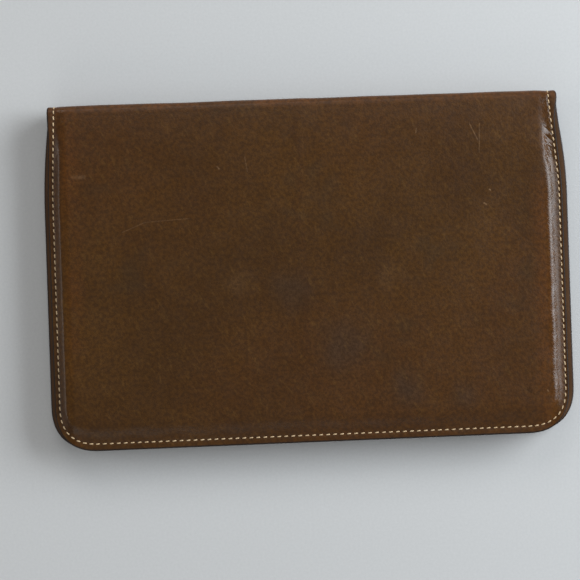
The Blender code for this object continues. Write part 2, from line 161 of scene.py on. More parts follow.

# Marks on the front leaf, with painted highlight and painted shade among them, in millimetres from its
# middle
STAINS = (
    ((-8, -8), 14, 0.35),
    ((15, -33), 18, 0.40),
    ((41, -52), 12, 0.45),
    ((66, -57), 10, 0.35),
)  # centre, radius, strength
# Painted highlight with rubbed wear: lighter spots where the snaps press the front leaf up
RUBBED_SPOTS_AND_HIGHLIGHT = (
    ((-29.5, -5), 9, 0.30),
    ((34.5, -5), 9, 0.30),
)  # centre, radius, strength
# Painted shade: a darker line down the soft ridge of the front leaf
CREASE_SHADE = ((-3, 73), (-2, -40), 2.2)  # start, end, width
SCRATCHES = (
    ((-101, 43.5), (-96, 43.5), 1.5, 0.30),
    ((-80, 19), (-70, 23), 0.40, 0.22),
    ((-70, 23), (-51, 24), 0.35, 0.20),
    ((71.8, 61.2), (75.2, 53.8), 0.38, 0.45),
    ((76.2, 61), (75.6, 48.5), 0.34, 0.35),
    ((-26, 50), (-25, 43.5), 0.36, 0.30),
    ((-38, 46), (-37.2, 45), 0.55, 0.55),
    ((79.5, 32.3), (79.9, 32), 0.45, 0.90),
    ((77, 26.5), (78, 25.8), 0.55, 0.60),
    ((101.8, -55.5), (102, -56), 0.50, 1.0),
    ((48.8, 59.8), (48.5, 57.8), 0.40, 0.45),
)  # start, end, width, strength


# Small helpers


def smooth(value):
    value = np.clip(value, 0, 1)
    return value * value * (3 - 2 * value)


def ramp(value, low, high):
    return smooth((value - low) / (high - low))


def hump(value, width):
    return np.exp(-((value / width) ** 2))


def ripple(x, y, seed, scale, octaves=3):
    """Smooth undulation of about -1 to 1, the same each run."""
    random = np.random.default_rng(seed)
    total = np.zeros(np.broadcast(x, y).shape)
    weight = 1.0
    for _ in range(octaves):
        for _ in range(4):
            angle, phase = random.uniform(0, math.tau, 2)
            along = x * math.cos(angle) + y * math.sin(angle)
            total += weight * np.sin(math.tau * along / scale + phase) / 2.5
        weight *= 0.5
        scale *= 0.55
    return total


def add_piece(name, points, faces, mats=None, slot=None, body=None, sharp=50):
    """A smooth-shaded mesh that keeps its rest position for its material."""
    mesh = bpy.data.meshes.new(name)
    mesh.from_pydata(np.asarray(points, float).tolist(), [], faces)
    mesh.validate()
    mesh.shade_smooth()
    mesh.set_sharp_from_angle(angle=math.radians(sharp))
    keep_rest(mesh)
    obj = bpy.data.objects.new(name, mesh)
    bpy.context.scene.collection.objects.link(obj)
    if body:
        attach(obj, body)
    if slot:
        mesh.materials.append(mats[slot])
    return obj


def keep_rest(mesh):
    count = len(mesh.vertices)
    places = np.empty(count * 3, np.float32)
    mesh.vertices.foreach_get("co", places)
    attribute = mesh.attributes.new("rest", "FLOAT_VECTOR", "POINT")
    attribute.data.foreach_set("vector", places)


def paint_edge(mesh, painted):
    """Keeps where the dark edge paint lies, for the material."""
    attribute = mesh.attributes.new("edge", "FLOAT", "POINT")
    attribute.data.foreach_set("value", np.asarray(painted, np.float32))


def paint_at(edge, paint):
    """How much dark edge paint there is at a distance from a cut edge; on the leaves the band is also
    painted shadow.
    """
    width, blur = paint
    return smooth((width - edge) / blur)


def rounded_off(edge, radius):
    """How far a rounded edge falls below its face, at a distance from that edge."""
    return radius * (1 - np.sqrt(1 - np.clip(1 - edge / radius, 0, 1) ** 2))


def node_box(name):
    """A CAD node's low and high corner, seen from above."""
    low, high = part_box(name)
    return (low[0], low[1]), (high[0], high[1])


def middle_of(name):
    low, high = node_box(name)
    return (low[0] + high[0]) / 2, (low[1] + high[1]) / 2


def box_corners(centre, size):
    half = np.array(size) / 2
    return centre - half, centre + half


# Leaf coordinates


class Profile:
    """A section across the leaf and the fold, from t to (y, depth) and the way inwards."""

    def __init__(self, points):
        points = np.array(points)
        steps = np.linalg.norm(np.diff(points, axis=0), axis=1)
        self.t = points[0, 0] + np.concatenate([[0], np.cumsum(steps)])
        self.points = points
        tangent = np.gradient(points, self.t, axis=0)
        self.inwards = np.stack([-tangent[:, 1], tangent[:, 0]], axis=1)
        self.end = self.t[-1]

    def place(self, t, drop):
        y, depth, ny, nd = (
            np.interp(t, self.t, column)
            for column in (*self.points.T, *self.inwards.T)
        )
        return y + ny * drop, depth + nd * drop


def outer_profile():
    """The outer face: flat, down a little towards the fold, round it, and along the spine."""
    fold_y = HALF_DEPTH - FOLD_RADIUS
    points = [(-HALF_DEPTH - EDGE_ROOM, 0.0), (0.0, 0.0)]
    for y in np.linspace(FOLD_START, fold_y, 14):
        drop = FOLD_DROP * ((y - FOLD_START) / (fold_y - FOLD_START)) ** 2
        points.append((y, drop))
    for angle in np.radians(np.linspace(80, 0, 9)):
        y = fold_y + FOLD_RADIUS * math.cos(angle)
        points.append((y, FOLD_DROP + FOLD_RADIUS * (1 - math.sin(angle))))
    points.append((HALF_DEPTH, SPINE_MIDDLE))
    return Profile(points)


def lining_profile():
    """The lining's inner face: flat, into the fold's corner, and along the spine."""
    bend_y = LINING_SPINE_Y - LINING_FOLD_RADIUS
    points = [(y, LINING_DEPTH) for y in (-HALF_DEPTH - EDGE_ROOM, 0.0, bend_y - 4 * MM)]
    for angle in np.radians(np.linspace(90, 0, 10)):
        y = bend_y + LINING_FOLD_RADIUS * math.cos(angle)
        points.append((y, LINING_DEPTH + LINING_FOLD_RADIUS * (1 - math.sin(angle))))
    points.append((LINING_SPINE_Y, SPINE_MIDDLE))
    return Profile(points)


class Leaf:
    """Where one leaf's outline lies, and which way up it is."""

    fold_seam = (108.5 * MM, 106.6 * MM)  # left, right: how far out the seam lies at the fold
    fold_margins = (3.1 * MM, 0.0, 4.0 * MM)  # left, bottom, right: leather outside it there
    rounding = (0.3 * MM, 0.0, 0.8 * MM)  # how much of that is worn away round the fold
    slope_starts = (0.2 * MM, 0.0, 0.9 * MM)  # flat leather inside the seam
    slope_widths = (3.2 * MM, 9.0 * MM, 4.9 * MM)

    def __init__(self, name, seam_half_width, margins, mirrored):
        self.name = name
        self.seam_half_width = seam_half_width
        self.margins = margins  # left, bottom, right: leather outside the seam
        self.mirrored = mirrored

    def height(self, depth):
        return THICKNESS - depth if self.mirrored else depth

    def flat(self, x, y, depth):
        """Points at a depth from the leaf's outer face."""
        return np.stack(np.broadcast_arrays(x, y, self.height(depth)), axis=-1)

    def to_space(self, profile, x, t, drop):
        """Points at a drop inwards from the profile."""
        t = t + OUT_OF_SQUARE * x * smooth(-t / OUT_OF_SQUARE_AT)
        y, depth = profile.place(t, drop)
        return self.flat(x, y, depth)

    def pulled_in(self, side, t):
        """How far the seam comes in near the fold, on the left (0) or right (1)."""
        run = np.clip((HALF_DEPTH - t) / PULLED_IN_OVER, 0, 1)
        share = 1 - smooth(run) if self.mirrored else (1 - run) ** 2
        return (self.seam_half_width - self.fold_seam[side]) * share

    def seam(self, profile, per_stitch=POINTS_PER_STITCH):
        """The seam line, from the fold down the left, along the bottom and up the right."""
        return SeamPath(self, profile, per_stitch)


class SeamPath:
    """Points along a leaf's seam, with the way outwards and the shares of each side at each."""

    def __init__(self, leaf, profile, per_stitch):
        self.leaf = leaf
        corner_t = SEAM_BOTTOM + SEAM_RADIUS
        side_t = np.linspace(profile.end, corner_t, SIDE_STITCHES * per_stitch + 1)
        bottom_x = np.linspace(-1, 1, BOTTOM_STITCHES * per_stitch + 1)
        centre = leaf.seam_half_width - SEAM_RADIUS
        bottom_x *= centre
        angle = even_corner(CORNER_STITCHES * per_stitch)
        across, down = corner_curve(angle)
        left = -leaf.seam_half_width + leaf.pulled_in(0, side_t)
        right = leaf.seam_half_width - leaf.pulled_in(1, side_t)
        corner_x = centre + SEAM_RADIUS * across
        corner_down = corner_t - SEAM_RADIUS * down
        flat = np.full_like(bottom_x, SEAM_BOTTOM)
        self.x = np.concatenate([left, -corner_x, bottom_x, corner_x[::-1], right[::-1]])
        self.t = np.concatenate([side_t, corner_down, flat, corner_down[::-1], side_t[::-1]])
        ones, zeros = np.ones_like(side_t), np.zeros_like(side_t)
        out_x = [-ones, -np.cos(angle), np.zeros_like(bottom_x), np.cos(angle)[::-1], ones]
        out_t = [zeros, -np.sin(angle), -np.ones_like(bottom_x), -np.sin(angle)[::-1], zeros]
        self.out_x, self.out_t = np.concatenate(out_x), np.concatenate(out_t)
        turn = smooth(angle / (math.pi / 2))
        left_share = [ones, 1 - turn, np.zeros_like(bottom_x), 0 * turn, zeros]
        right_share = [zeros, 0 * turn, np.zeros_like(bottom_x), (1 - turn)[::-1], ones]
        self.left, self.right = np.concatenate(left_share), np.concatenate(right_share)
        self.phase = np.arange(len(self.x)) % per_stitch / per_stitch
        self.counts = [len(side_t), len(angle), len(bottom_x), len(angle), len(side_t)]

    def mix(self, values):
        """A left, bottom and right value along the whole seam."""
        left, bottom, right = values
        return left * self.left + right * self.right + bottom * (1 - self.left - self.right)


def corner_curve(angle):
    power = 2 / SEAM_SQUARENESS
    return np.clip(np.cos(angle), 0, 1) ** power, np.clip(np.sin(angle), 0, 1) ** power


def even_corner(steps):
    """The angles at which the corner's curve is cut into even steps, without its two ends."""
    angle = np.linspace(0, math.pi / 2, 600)
    curve = np.stack(corner_curve(angle), axis=1)
    run = np.concatenate([[0], np.cumsum(np.linalg.norm(np.diff(curve, axis=0), axis=1))])
    return np.interp(np.linspace(0, run[-1], steps + 1)[1:-1], run, angle)


class Sheet:
    """A closed sheet of leather over a whole leaf: rings in from its rim, then a grid."""

    def __init__(self, leaf, profile, drop_at, thickness, edge_round, trim=0.0):
        self.leaf = leaf
        self.profile = profile
        self.drop_at = drop_at
        self.thickness = thickness
        self.edge_round = edge_round
        self.path = leaf.seam(profile)
        self.margin = self.margins(trim)
        self.points = []
        self.painted = []
        self.tops = []
        self.unders = []
        self.count = 0

    def margins(self, trim):
        """How much leather lies outside the seam, all along it."""
        leaf, path = self.leaf, self.path
        near = ramp(path.t, *FOLD_MARGIN)
        margin = path.mix(leaf.margins) * (1 - near) + path.mix(leaf.fold_margins) * near
        worn_away = path.mix(leaf.rounding) * ramp(path.t, WORN_FROM, self.profile.end)
        return margin - trim - worn_away

    def add_points(self, x, t, top, under, skin):
        """Adds the points of both faces, and returns their numbers."""
        for drop in (top, under):
            self.points.append(self.leaf.to_space(self.profile, x, t, drop).reshape(-1, 3))
        self.painted += [skin.ravel(), np.ones(skin.size)]
        numbers = np.arange(x.size).reshape(x.shape) + self.count
        self.count += 2 * x.size
        return numbers, numbers + x.size

    def add_ring(self, offset, pick):
        path = self.path
        x = path.x[pick] + path.out_x[pick] * offset
        t = path.t[pick] + path.out_t[pick] * offset
        edge = self.margin[pick] - offset
        top, under = self.drop_at(x, t, -offset, path, pick)
        fall = rounded_off(edge, self.edge_round) * np.sign(self.thickness)
        # Dark edge paint, wide enough on the leaves to be painted shadow along their edges as well
        skin = paint_at(edge, LEAF_PAINT_AND_SHADOW)
        top_ring, under_ring = self.add_points(x, t, top + fall, under - fall, skin)
        self.tops.append(top_ring)
        self.unders.append(under_ring)

    def add_grid(self, pick):
        """Rows from the fold to the corners' height, which end on the innermost ring's points."""
        path = self.path
        side = path.counts[0] // 2 + 1
        bottom = path.counts[2] // 2 + 1
        corner = (len(pick) - 2 * side - bottom) // 2
        left = path.x[pick[:side]] + SEAM_RADIUS
        right = path.x[pick[-side:]][::-1] - SEAM_RADIUS
        share = np.linspace(0, 1, bottom)
        x = left[:, None] * (1 - share) + right[:, None] * share
        t = np.broadcast_to(path.t[pick[:side]][:, None], x.shape)
        top, under = self.drop_at(x, t, np.full(x.shape, SEAM_RADIUS), None, None)
        grids = self.add_points(x, t, top, under, np.zeros(x.shape))
        for grid, ring in zip(grids, (self.tops[-1], self.unders[-1])):
            grid[:, 0] = ring[:side]
            grid[-1, :] = ring[side + corner : side + corner + bottom]
            grid[:, -1] = ring[-side:][::-1]
        return grids

    def build(self):
        """Points, how far each is painted, and faces."""
        every = np.arange(len(self.path.x))
        every_other = every[::2]
        for share in RIM_SHARES:
            self.add_ring(share * self.margin, every)
        for step in INSIDE_STEPS:
            self.add_ring(np.full_like(self.margin, -step * MM), every)
        fine = len(self.tops)
        for step in COARSE_STEPS:
            self.add_ring(np.full(len(every_other), -step * MM), every_other)
        top_grid, under_grid = self.add_grid(every_other)
        faces = ring_faces(self.tops, fine)
        faces += [face[::-1] for face in ring_faces(self.unders, fine)]
        rim, under_rim = self.tops[0], self.unders[0]
        faces += [(b, d, c, a) for a, c, b, d in zip(rim, rim[1:], under_rim, under_rim[1:])]
        faces += grid_faces(top_grid)
        faces += [face[::-1] for face in grid_faces(under_grid)]
        end, under_end = fold_end(self.tops, top_grid), fold_end(self.unders, under_grid)
        faces += [(a, c, d, b) for a, c, b, d in zip(end, end[1:], under_end, under_end[1:])]
        flip = self.leaf.mirrored == (self.thickness > 0)
        return welded(np.concatenate(self.points), np.concatenate(self.painted), faces, flip)


def ring_faces(rings, fine):
    """Faces between rings, which have half as many points after the fine ones."""
    faces = []
    for ring, (a, b) in enumerate(zip(rings, rings[1:])):
        steps = range(len(b) - 1)
        if ring == fine - 1:
            faces += [(a[2 * i], a[2 * i + 1], a[2 * i + 2], b[i + 1], b[i]) for i in steps]
        else:
            faces += [(a[i], a[i + 1], b[i + 1], b[i]) for i in steps]
    return faces


def grid_faces(grid):
    corners = (grid[:-1, :-1], grid[:-1, 1:], grid[1:, 1:], grid[1:, :-1])
    return list(zip(*(corner.ravel() for corner in corners)))


def fold_end(rings, grid):
    """The end of a sheet's face at the fold, from one side of the leaf to the other."""
    left = [ring[0] for ring in rings]
    right = [ring[-1] for ring in rings[::-1]]
    return np.concatenate([left, grid[0, 1:-1], right])


def welded(points, painted, faces, flip):
    """Makes points in one place one, and drops what collapsed with them."""
    places = np.round(points / (0.001 * MM)).astype(np.int64)
    _, first, index = np.unique(places, axis=0, return_index=True, return_inverse=True)
    index = index.reshape(-1)
    kept = []
    for face in faces:
        loop = [int(index[i]) for i in face]
        loop = [v for v, before in zip(loop, loop[-1:] + loop[:-1]) if v != before]
        if len(loop) > 2:
            kept.append(loop[::-1] if flip else loop)
    used = sorted({v for loop in kept for v in loop})
    number = {v: i for i, v in enumerate(used)}
    return points[first][used], painted[first][used], [[number[v] for v in loop] for loop in kept]


# The outer leather


def cover_drop(leaf, x, t, inside, path, pick):
    """How far the outer leather lies under the leaf's flat level, on its outer and inner face."""
    fold = ramp(t, *BORDER_RISES)
    border = BORDER_DROP + (BORDER_DROP_AT_FOLD - BORDER_DROP) * fold
    start, width, pinch, hole = 0, 2.9 * MM, 0, 0
    if path is not None:
        start = path.mix(leaf.slope_starts)[pick]
        width = path.mix(leaf.slope_widths)[pick]
        phase = path.phase[pick]
        near_hole = hump(np.minimum(phase, 1 - phase), 0.16)
        pinch = THREAD_PULL * hump(inside, 0.8 * MM)
        hole = HOLE_DEPTH * hump(inside, 0.42 * MM) * near_hole
    level = border * (1 - smooth((inside - start) / width))
    pucker = PUCKER * ripple(x, t, 3, 17 * MM) * ramp(inside, 1 * MM, 4 * MM)
    level = level + pucker * (1 - ramp(inside, 6 * MM, 16 * MM))
    middle = ramp(inside, 4 * MM, 14 * MM)
    level = level + middle * (0.16 * MM * ripple(x, t, 11, 95 * MM) - 0.05 * MM)
    level = level - front_marks(x, t) if leaf.mirrored else np.maximum(level, 0)
    filler = edge_filler(t) * (1 - ramp(inside, 1.5 * MM, 3 * MM))
    return level + pinch + hole, np.maximum(level + LEATHER, filler)


def edge_filler(t):
    """How thick the skived edge is built up, so that leather and lining meet all along the sides."""
    lying = (np.maximum(t - FOLD_START, 0) / (HALF_DEPTH - FOLD_RADIUS - FOLD_START)) ** 2
    flat = LINING_DEPTH - LINING - 0.03 * MM - FOLD_DROP * np.minimum(lying, 1)
    round_fold = ramp(t, HALF_DEPTH - FOLD_RADIUS, HALF_DEPTH)
    in_corner = 1.35 * MM * hump(t - HALF_DEPTH + 2.3 * MM, 1.9 * MM)
    return flat + (2.4 * MM - flat) * round_fold + in_corner


def front_marks(x, t):
    """What has pressed into the front leaf over the years: two snaps, a soft ridge and creases."""
    height = np.zeros(np.broadcast(x, t).shape)
    for side in SIDES:
        middle = middle_of("snap_cap_" + side)
        away = np.hypot(x - middle[0], t - middle[1])
        height = height + 0.17 * MM * hump(away - 5.0 * MM, 1.8 * MM)
        height = height + 0.10 * MM * hump(away, 4 * MM)
    ridge = hump(x + 2.5 * MM + 1.2 * MM * np.sin(t / (17 * MM)), 2.2 * MM)
    height = height + 0.11 * MM * ridge * ramp(t, -40 * MM, -15 * MM)
    wrinkle = np.sin((t * 0.8 + x * 0.6 + 0.5 * MM * np.sin(t / (2.3 * MM))) / (0.46 * MM))
    corner = hump(x - 106.0 * MM, 1.7 * MM) * hump(t - 52 * MM, 6 * MM)
    return height + 0.15 * MM * wrinkle * corner


def add_cover(leaf, mats):
    def drop_at(x, t, inside, path, pick):
        return cover_drop(leaf, x, t, inside, path, pick)

    sheet = Sheet(leaf, outer_profile(), drop_at, LEATHER, 0.5 * MM)
    points, painted, faces = sheet.build()
    piece = add_piece(leaf.name + "_cover_leather", points, faces)
    piece.data.materials.append(mats["cover_leather"])
    paint_edge(piece.data, painted)
    return piece


# Seams


def add_stitches(leaf, profile, name, mats):
    """One stitch for each step along the leaf's seam, proud of the outer face or of the lining."""
    path = leaf.seam(profile, per_stitch=2)
    rises = 1 if profile.points[0, 1] > 0 else -1
    along, across, up = stitch_shape(1.02 * MM, 0.27 * MM)
    points, faces = [], []
    for centre in range(1, len(path.x) - 1, 2):
        step_x = path.x[centre + 1] - path.x[centre - 1]
        step_t = path.t[centre + 1] - path.t[centre - 1]
        size = math.hypot(step_x, step_t)
        ax, at = step_x / size, step_t / size
        ax, at = ax - STITCH_SLANT * at, at + STITCH_SLANT * ax
        x = path.x[centre] + ax * along - at * across
        t = path.t[centre] + at * along + ax * across
        base = seam_level(path, centre) if rises < 0 else 0.0
        faces += tube_faces(len(points) * up.size, *up.shape)
        points.append(leaf.to_space(profile, x, t, base + rises * up).reshape(-1, 3))
    return add_piece(name, np.concatenate(points), faces, mats, "thread")


def stitch_shape(half_length, half_width):
    """One stitch's run, sideways and upward offsets, its ends pulled into the leather."""
    along = np.linspace(-1, 1, 9)
    around = np.linspace(0, math.tau, 7)[:-1]
    bulge = np.sqrt(np.clip(1 - np.abs(along) ** 3.2, 0.02, 1))
    across = (half_width * bulge)[:, None] * np.cos(around)
    arch = STITCH_LIFT * (1 - along**2) - 0.34 * MM * along**4
    up = (half_width * 0.75 * bulge)[:, None] * np.sin(around) + arch[:, None]
    return (along * half_length)[:, None], across, up


def tube_faces(first, rings, sides):
    """The faces of a closed tube whose points start at a number."""
    faces = [[first + side for side in range(sides)]]
    for ring in range(rings - 1):
        start = first + ring * sides
        for side in range(sides):
            after = (side + 1) % sides
            faces.append([start + side, start + sides + side, start + sides + after, start + after])
    faces.append([first + rings * sides - 1 - side for side in range(sides)])
    return faces


def seam_level(path, index):
    """How deep the outer leather lies at a point of its seam."""
    pick = np.array([index])
    outer, _ = cover_drop(path.leaf, path.x[pick], path.t[pick], np.zeros(1), path, pick)
    return float(outer[0])


# Flat pieces inside a leaf, drawn by x, y and depth from its outer face


def inset_loop(loop, distance):
    """A closed loop moved to its left-hand side, which is where the material lies."""
    ahead = np.roll(loop, -1, axis=0) - loop
    behind = np.roll(ahead, 1, axis=0)
    ahead /= np.linalg.norm(ahead, axis=1, keepdims=True)
    behind /= np.linalg.norm(behind, axis=1, keepdims=True)
    bisector = ahead + behind
    bisector /= np.linalg.norm(bisector, axis=1, keepdims=True)
    reach = distance / np.maximum((bisector * ahead).sum(axis=1, keepdims=True), 0.4)
    return loop + reach * np.stack([-bisector[:, 1], bisector[:, 0]], axis=1)


def filled_in(loop, step=1.6 * MM):
    """A closed loop with no side longer than a step."""
    points = []
    for a, b in zip(loop, np.roll(loop, -1, axis=0)):
        count = max(1, math.ceil(np.linalg.norm(b - a) / step))
        points += [a + (b - a) * i / count for i in range(count)]
    return np.array(points)


def rounded_box(low, high, bottom_radius, top_radius):
    """An anticlockwise loop round a rectangle."""
    corners = (
        (high[0] - bottom_radius, low[1] + bottom_radius, bottom_radius, -90),
        (high[0] - top_radius, high[1] - top_radius, top_radius, 0),
        (low[0] + top_radius, high[1] - top_radius, top_radius, 90),
        (low[0] + bottom_radius, low[1] + bottom_radius, bottom_radius, 180),
    )
    points = []
    for x, y, radius, start in corners:
        for angle in np.radians(np.linspace(start, start + 90, 4 + int(radius / MM))):
            points.append((x + radius * math.cos(angle), y + radius * math.sin(angle)))
    return filled_in(np.array(points))


def centred_box(centre, size, radius):
    return rounded_box(*box_corners(centre, size), radius, radius)


def ring_of(centre, radius, count=24):
    angle = np.linspace(0, math.tau, count, endpoint=False)
    x, y = centre[0] + radius * np.cos(angle), centre[1] + radius * np.sin(angle)
    return np.stack([x, y], axis=1)


def within(points, loops):
    """Whether each point lies inside the first loop and outside the others."""
    x, y = points.T
    odd = np.zeros(len(points), bool)
    for loop in loops:
        for (ax, ay), (bx, by) in zip(loop, np.roll(loop, -1, axis=0)):
            slope = (bx - ax) / (by - ay) if by != ay else 0.0
            odd ^= ((ay > y) != (by > y)) & (x < ax + slope * (y - ay))
    return odd


def from_loops(points, loops):
    """How far each point is from the nearest side of any loop."""
    nearest = np.full(len(points), np.inf)
    for loop in loops:
        side = np.roll(loop, -1, axis=0) - loop
        away = points[:, None] - loop
        share = np.clip((away * side).sum(axis=-1) / (side * side).sum(axis=-1), 0, 1)
        distance = np.linalg.norm(away - share[..., None] * side, axis=-1)
        nearest = np.minimum(nearest, distance.min(axis=1))
    return nearest


def triangulated(loops, rings, spacing):
    """Points, their distances from the nearest edge, and triangles, over a shape with holes."""
    points = np.concatenate(loops)
    edges, first = [], 0
    for loop in loops:
        edges += [(first + i, first + (i + 1) % len(loop)) for i in range(len(loop))]
        first += len(loop)
    distances = [np.zeros(len(points))]
    added = [points]
    for distance in rings:
        ring = np.concatenate([inset_loop(loop, distance) for loop in loops])
        ring = ring[from_loops(ring, loops) > 0.97 * distance]
        added.append(ring)
        distances.append(np.full(len(ring), distance))
    low, high = loops[0].min(axis=0), loops[0].max(axis=0)
    columns, rows = (np.arange(low[axis], high[axis], spacing) for axis in (0, 1))
    grid = np.stack(np.meshgrid(columns, rows), axis=-1).reshape(-1, 2)
    grid = grid[within(grid, loops)]
    grid = grid[from_loops(grid, loops) > rings[-1] + 0.5 * spacing]
    added.append(grid)
    distances.append(np.full(len(grid), rings[-1] + spacing))
    points = np.concatenate(added)
    found = delaunay_2d_cdt([Vector(point / MM) for point in points], edges, [], 0, 1e-5)
    faces = np.array([[found[3][corner][0] for corner in face] for face in found[2]])
    faces = faces[within(points[faces].mean(axis=1), loops)]
    return points, np.concatenate(distances), faces


def add_panel(
    name,
    leaf,
    loops,
    front_at,
    thickness,
    mats,
    slot,
    edge_round=0.3 * MM,
    spacing=4 * MM,
    reach=6 * MM,
):
    """A closed sheet over a leaf: front_at gives the depth of the face that shows.

    The close rings beside its edges stop at the reach, where two edges are near each other."""
    reach = min(reach, 0.3 * np.ptp(loops[0], axis=0).min())
    rings = [step * MM for step in PANEL_RINGS if step * MM <= reach]
    points, edge, triangles = triangulated(loops, rings, spacing)
    x, y = points.T
    front = front_at(x, y)
    fall = rounded_off(edge, edge_round)
    places = [leaf.flat(x, y, front - fall), leaf.flat(x, y, front - thickness + fall)]
    faces = panel_faces(loops, triangles, len(points), leaf.mirrored)
    piece = add_piece(name, np.concatenate(places), faces, mats, slot, leaf.name)
    skin = paint_at(edge, PANEL_PAINT)
    paint_edge(piece.data, np.concatenate([skin, skin]))
    return piece


def panel_faces(loops, triangles, count, mirrored):
    """Both faces of a panel, and the walls along its loops."""
    faces = [list(face) for face in triangles]
    faces += [list(face[::-1] + count) for face in triangles]
    first = 0
    for loop in loops:
        for i in range(len(loop)):
            a, b = first + i, first + (i + 1) % len(loop)
            faces.append([a, a + count, b + count, b])
        first += len(loop)
    return [[int(corner) for corner in (face[::-1] if mirrored else face)] for face in faces]


def from_rim(x, y, low, high):
    """How far inside a rectangle each point lies, with soft corners."""
    soft = 1.2 * MM
    sides = (x - low[0], high[0] - x, y - low[1], high[1] - y)
    return -soft * np.log(sum(np.exp(-np.clip(side, -0.05, 0.05) / soft) for side in sides))


def pressed_line(distance, width=0.45 * MM, depth=0.16 * MM):
    return depth * hump(distance, width)


def pocket_front(low, high, mouth, lift, holes=()):
    """The depth of a pocket panel's face: sewn down at its rim, raised inside, with its creases."""
    top = high[1] + (1.0 if mouth else 0.0)  # a mouth isn't sewn down, so its rim is far away

    def front_at(x, y):
        inside = from_rim(x, y, low, (high[0], top))
        raised = ramp(inside, 2.6 * MM, 6.5 * MM)
        depth = LINING_FACE + POCKET_LEATHER + (lift + POCKET_GAP) * raised
        depth = depth + 0.07 * MM * raised * ripple(x, y, 23, 80 * MM)
        depth = depth - pressed_line(inside - SEWN_IN)
        if mouth:
            depth = depth - pressed_line(high[1] - y - MOUTH_CREASE, 0.35 * MM, 0.12 * MM)
        for centre, size in holes:
            away = -from_rim(x, y, *box_corners(centre, size))
            depth = depth - pressed_line(away - SEWN_IN)
        return depth

    return front_at


# Rows of stitches on the flat pieces


def stitch_centres(line, pitch):
    """Even steps along a line of points, each with its direction."""
    steps = np.linalg.norm(np.diff(line, axis=0), axis=1)
    run = np.concatenate([[0], np.cumsum(steps)])
    count = round(run[-1] / pitch)
    places = (np.arange(count) + 0.5) * run[-1] / count
    centres = np.stack([np.interp(places, run, line[:, axis]) for axis in (0, 1)], axis=1)
    after = np.stack([np.interp(places + 0.2 * MM, run, line[:, axis]) for axis in (0, 1)], axis=1)
    return centres, (after - centres) / np.linalg.norm(after - centres, axis=1, keepdims=True)


def add_row(name, leaf, lines, depth_at, mats, pitch=PANEL_STITCH_PITCH):
    """Stitches along lines on a panel's face."""
    along, across, up = stitch_shape(0.40 * pitch, 0.28 * MM)
    points, faces = [], []
    for line in lines:
        for (cx, cy), (dx, dy) in zip(*stitch_centres(line, pitch)):
            x = cx + dx * along - dy * across
            y = cy + dy * along + dx * across
            depth = depth_at(np.array(cx), np.array(cy)) + up
            faces += tube_faces(len(points) * up.size, *up.shape)
            points.append(leaf.flat(x, y, depth).reshape(-1, 3))
    return add_piece(name, np.concatenate(points), faces, mats, "thread", leaf.name)


def sewn_line(low, high, inset, radius, open_top):
    """The line of a seam inside a panel's edge: all the way round, or open along its mouth."""
    left, bottom = low[0] + inset, low[1] + inset
    right = high[0] - inset
    if not open_top:
        loop = rounded_box((left, bottom), (right, high[1] - inset), radius, radius)
        return np.concatenate([loop, loop[:1]])
    top = high[1] - 1.2 * MM
    angle = np.radians(np.linspace(180, 270, 8))
    x = left + radius + radius * np.cos(angle)
    y = bottom + radius + radius * np.sin(angle)
    corner = np.stack([x, y], axis=1)
    other = corner[::-1] * (-1, 1) + (left + right, 0)
    return np.concatenate([[(left, top)], corner, other, [(right, top)]])


# Solids of metal


def loft(rings, closed=False):
    """A solid through loops of one length, the first at the bottom, capped or closed on itself."""
    count, last = len(rings[0]), len(rings) - 1
    pairs = [(i, i + 1) for i in range(last)] + ([(last, 0)] if closed else [])
    faces = []
    for low, high in pairs:
        for i in range(count):
            after = (i + 1) % count
            corners = (low * count + i, low * count + after, high * count + after, high * count + i)
            faces.append(list(corners))
    if not closed:
        faces.append(list(range(count))[::-1])
        faces.append([last * count + i for i in range(count)])
    return np.concatenate(rings), faces


def joined(solids):
    """The points and faces of several solids as one."""
    points, faces, count = [], [], 0
    for places, loops in solids:
        faces += [[corner + count for corner in loop] for loop in loops]
        points.append(places)
        count += len(places)
    return np.concatenate(points), faces


def plate(outline, low, high, bevel):
    """A flat solid over an outline, with rounded edges."""
    rings = []
    for angle in np.radians((0, 35, 70)):
        inset = bevel * (1 - math.sin(angle))
        rings.append((inset, low + bevel * (1 - math.cos(angle))))
    rings += [(inset, low + high - height) for inset, height in rings[::-1]]
    loops = []
    for inset, height in rings:
        flat = inset_loop(outline, inset)
        loops.append(np.column_stack([flat, np.full(len(flat), height)]))
    return loft(loops)


def turned(profile, centre, base, direction, closed=False):
    """A round solid from (radius, height) in millimetres, which rise along the direction, 1 or -1."""
    rings = []
    for radius, height in profile if direction > 0 else profile[::-1]:
        circle = ring_of(centre, max(radius, 0.02) * MM, 32)
        level = np.full(len(circle), base + direction * height * MM)
        rings.append(np.column_stack([circle, level]))
    return loft(rings, closed)


def arc(centre, radii, start, end, steps=6):
    """Points of (radius, height) round a part of an ellipse, for a turned profile."""
    angles = np.radians(np.linspace(start, end, steps))
    x = centre[0] + radii[0] * np.cos(angles)
    y = centre[1] + radii[1] * np.sin(angles)
    return list(zip(x, y))


# The lining, with everything sewn to it


def add_lining(leaf, mats):
    profile = lining_profile()

    def drop_at(x, t, inside, path, pick):
        level = 0.05 * MM * ripple(x, t, 31, 60 * MM) - 0.03 * MM
        if path is not None:
            level = level - pressed_line(inside, 0.6 * MM, 0.14 * MM)
        return level, level - LINING

    sheet = Sheet(leaf, profile, drop_at, -LINING, 0.35 * MM, trim=0.15 * MM)
    points, painted, faces = sheet.build()
    piece = add_piece(leaf.name + "_lining_leather", points, faces, mats, "lining_leather")
    paint_edge(piece.data, painted)
    seam = add_stitches(leaf, profile, leaf.name + "_seam_inside", mats)
    return piece, seam


